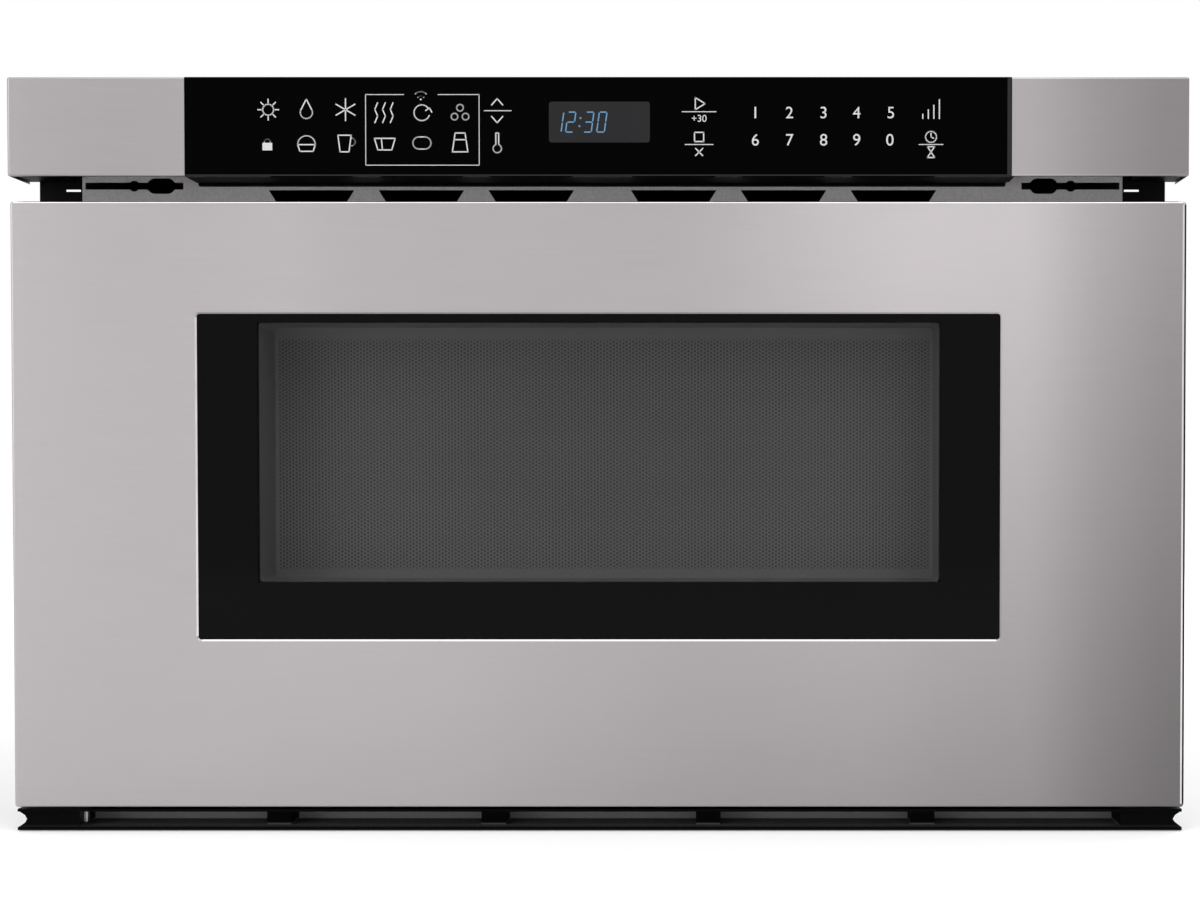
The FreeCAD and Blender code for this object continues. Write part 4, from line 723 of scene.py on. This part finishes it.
def drawer_edge_light_and_shade():
    """The painted highlights on the drawer front's edges, which are its upper edge, a line along its
    right-hand edge and the window's left and lower bevels, and the painted shade on the round of the
    right-hand edge."""
    inset = SKIN_EDGE * 1.5
    top, right = skin_high.z, skin_high.x
    upright = (Vector((right, front_face, skin_low.z + inset)), Vector((right, front_face, top - inset)))
    level = (Vector((skin_low.x + inset, front_face, top)), Vector((right - inset, front_face, top)))
    low, high = WINDOW_BOTTOM + WINDOW_CORNER, WINDOW_TOP - WINDOW_CORNER
    half = WINDOW_HALF - WINDOW_CORNER
    shape = bmesh.new()
    band(shape, level, [(0, y, z) for y, z in round_outline((20, 40, 60, 80))])
    band(shape, upright, [(-HIGHLIGHT_INSET, -LIFT, 0), (-SKIN_EDGE, -LIFT, 0), (-SKIN_EDGE, SINK, 0),
                          (-HIGHLIGHT_INSET, SINK, 0)])
    band(shape, (Vector((-WINDOW_HALF, front_face, low)), Vector((-WINDOW_HALF, front_face, high))),
         bevel_outline((BEVEL, 0, 0)))
    band(shape, (Vector((-half, front_face, WINDOW_BOTTOM)), Vector((half, front_face, WINDOW_BOTTOM))),
         bevel_outline((0, 0, BEVEL)))
    # Bright bands laid on the edges: painted highlights.
    piece("painted_edge_highlights", shape, edge_highlight_finish, "drawer")
    shape = bmesh.new()
    # A dark band on the right-hand round: painted shade.
    band(shape, upright, [(x, y, 0) for y, x in round_outline((12, 30, 50, 70, 88))])
    piece("shaded_edge", shape, housing_finish, "drawer")


# ---------------------------------------------------------------- base catch and screws

END_BLOCK = 0.0315
CATCH_SIZE = (0.0024, 0.0040, 0.0056)
SCREW_RADIUS = 0.0036
SCREW_HEIGHT = 0.0018
BACK_SCREWS = (-0.262, -0.13, 0.0, 0.13, 0.262)
BACK_EDGE_SCREWS = (0.12, 0.25)
SIDE_SCREWS = (-0.25, -0.08, 0.09, 0.275)
RAIL_SCREWS = (-0.15, 0.05, 0.16)


def base_catch():
    """The pale catch on the inner side of the base moulding's left-hand end block."""
    shape = bmesh.new()
    block(shape, (grille_low.x + END_BLOCK + 0.0010, grille_low.y + 0.0105,
                  (grille_low.z + grille_high.z) / 2 + 0.0004), CATCH_SIZE)
    round_edges(shape, 2, 0.001, 0.0005, 2)
    piece("base_catch", shape, finishes["bright_steel"], "case")


def screw(shape, place, direction):
    """A hexagonal screw head with a washer face, looking along a direction."""
    turn = Vector((0, 0, 1)).rotation_difference(Vector(direction)).to_matrix().to_4x4()
    base = Matrix.Translation(place) @ turn
    washer, head = SCREW_HEIGHT * 0.3, SCREW_HEIGHT * 0.7
    for sides, low, high, depth, middle in (
            (20, SCREW_RADIUS * 1.35, SCREW_RADIUS * 1.3, washer, washer / 2),
            (6, SCREW_RADIUS, SCREW_RADIUS * 0.94, head, washer + head / 2)):
        bmesh.ops.create_cone(shape, cap_ends=True, segments=sides, radius1=low, radius2=high, depth=depth,
                              matrix=base @ Matrix.Translation((0, 0, middle)))


def case_screws():
    """The sheet screws of the case, on its back and sides."""
    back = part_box("rear_panel")[1].y
    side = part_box("side_panel_right")[1].x
    fan_low, fan_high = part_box("fan_shroud")
    on_back = [(x, z) for x in BACK_SCREWS for z in (0.008, 0.362)]
    on_back += [(x, z) for z in BACK_EDGE_SCREWS for x in (-0.266, 0.266)]
    on_back += [(x, z) for x in (fan_low.x + 0.006, fan_high.x - 0.006)
                for z in (fan_low.z + 0.006, fan_high.z - 0.006)]
    on_side = [(y, z) for y in SIDE_SCREWS for z in (0.364, 0.008)] + [(y, 0.066) for y in RAIL_SCREWS]
    shape = bmesh.new()
    for x, z in on_back:
        screw(shape, (x, back, z), (0, 1, 0))
    for sign in (-1, 1):
        for y, z in on_side:
            screw(shape, (sign * side, y, z), (sign, 0, 0))
    piece("case_screws", shape, screw_finish, "case")


# ---------------------------------------------------------------- camera, lamps and floor

CAMERA_DISTANCE = 1.10
CAMERA_RIGHT = 0.0754
CAMERA_HEIGHT = 0.187
CAMERA_PITCH = math.radians(1.4)
SENSOR_WIDTH = 36.0
AIM_ROW = 454.5
PICTURE_RIGHT, PICTURE_DOWN = 1.2, 1.4

# Place, point looked at, size and power.
LAMPS = {
    "key_lamp": ((-2.1, -2.2, 0.9), (0, -0.3, 0.1), (2.0, 1.6), 21),
    "fill_lamp": ((1.5, -2.2, 1.9), (0.1, -0.3, 0.3), (1.6, 1.2), 12),
    "top_lamp": ((0.0, -0.45, 1.9), (0, 0, 0.2), (3.4, 2.8), 31),
    "back_lamp": ((0.9, 1.9, 1.2), (0, 0, 0.2), (2.0, 2.0), 13),
}
SKY_LIGHT, SKY_SEEN = 0.55, 1.0
FLOOR_HALF, FLOOR_LEVEL = 12.0, -0.0005
FLOOR_GLOW = (0.22, 0.54, 0.5, 2.6)


def make_camera():
    """The camera at the photograph's angle, with a small shift that frames the front."""
    stand = Vector((CAMERA_RIGHT, cad_box[0][1] - CAMERA_DISTANCE, CAMERA_HEIGHT))
    target = Vector((0, cad_box[0][1], (FRONT_BOTTOM - AIM_ROW) * PIXEL)) - stand
    pixels = CAMERA_DISTANCE / PIXEL
    forward = Vector((0, math.cos(CAMERA_PITCH), -math.sin(CAMERA_PITCH)))
    upward = Vector((0, math.sin(CAMERA_PITCH), math.cos(CAMERA_PITCH)))
    depth = target.dot(forward)
    across = FRONT_MIDDLE + PICTURE_RIGHT - PICTURE_WIDTH / 2
    down = AIM_ROW + PICTURE_DOWN - PICTURE_HEIGHT / 2
    data = bpy.data.cameras.new("camera")
    data.sensor_width = SENSOR_WIDTH
    data.lens = pixels * SENSOR_WIDTH / PICTURE_WIDTH
    data.shift_x = (target.x / depth * pixels - across) / PICTURE_WIDTH
    data.shift_y = (target.dot(upward) / depth * pixels + down) / PICTURE_WIDTH
    camera = bpy.data.objects.new("camera", data)
    bpy.context.scene.collection.objects.link(camera)
    camera.location = stand
    camera.rotation_euler = (math.pi / 2 - CAMERA_PITCH, 0, 0)
    bpy.context.scene.camera = camera


def lamp(name, place, aim, size, power):
    """A soft oblong lamp that looks at a point."""
    data = bpy.data.lights.new(name, "AREA")
    data.shape = "RECTANGLE"
    data.size, data.size_y = size
    data.energy = power
    made = bpy.data.objects.new(name, data)
    bpy.context.scene.collection.objects.link(made)
    made.location = place
    made.rotation_euler = (Vector(aim) - Vector(place)).to_track_quat("-Z", "Y").to_euler()


def seen_rays(tree):
    """One for rays that show a thing, straight, by reflection or through glass; nought for light."""
    paths = node(tree, "ShaderNodeLightPath").outputs
    seen = reckon(tree, "MAXIMUM", paths["Is Camera Ray"], paths["Is Glossy Ray"])
    return reckon(tree, "MAXIMUM", seen, paths["Is Transmission Ray"])


def floor_finish():
    """Pale matt board that keeps the object's shadow and pales with distance."""
    material, tree, shader = new_material("studio_floor")
    tone = mixed(tree, noise(tree, (3, 3, 3)), (0.84, 0.84, 0.84, 1), (0.86, 0.86, 0.86, 1))
    tree.links.new(tone, shader.inputs["Base Color"])
    away = distance(tree, (1, 1, 1), (0, 0, 0))
    glow = reckon(tree, "MULTIPLY", seen_rays(tree), spread(tree, away, *FLOOR_GLOW))
    tree.links.new(glow, shader.inputs["Emission Strength"])
    set_values(shader, {"Emission Color": (1, 1, 1, 1), "Roughness": 0.9, "Specular IOR Level": 0.0})
    return material


def make_studio():
    """Four soft lamps, a pale surround and a pale floor."""
    for name, settings in LAMPS.items():
        lamp(name, *settings)

    world = bpy.data.worlds.new("studio")
    bpy.context.scene.world = world
    world.use_nodes = True
    tree = world.node_tree
    background = tree.nodes["Background"]
    tree.links.new(spread(tree, seen_rays(tree), SKY_LIGHT, SKY_SEEN), background.inputs["Strength"])
    background.inputs["Color"].default_value = (1, 1, 1, 1)

    shape = bmesh.new()
    bmesh.ops.create_grid(shape, x_segments=1, y_segments=1, size=FLOOR_HALF,
                          matrix=Matrix.Translation((0, 0, FLOOR_LEVEL)))
    mesh = bpy.data.meshes.new("studio_floor")
    shape.to_mesh(mesh)
    shape.free()
    mesh.materials.append(floor_finish())
    floor = bpy.data.objects.new("studio_floor", mesh)
    bpy.context.scene.collection.objects.link(floor)
    bpy.context.scene.view_settings.view_transform = "Standard"


finish_nodes()
panel_marks()
panel_group_line()
panel_rim_highlight()
for row, digits in DIGIT_ROWS:
    for digit, column in digits:
        number("panel_number_" + digit, digit, column, row, 11.8)
number("panel_number_30", "+30", 698, 119, 7.0)
display()
drawer_edge_light_and_shade()
base_catch()
case_screws()
make_camera()
make_studio()
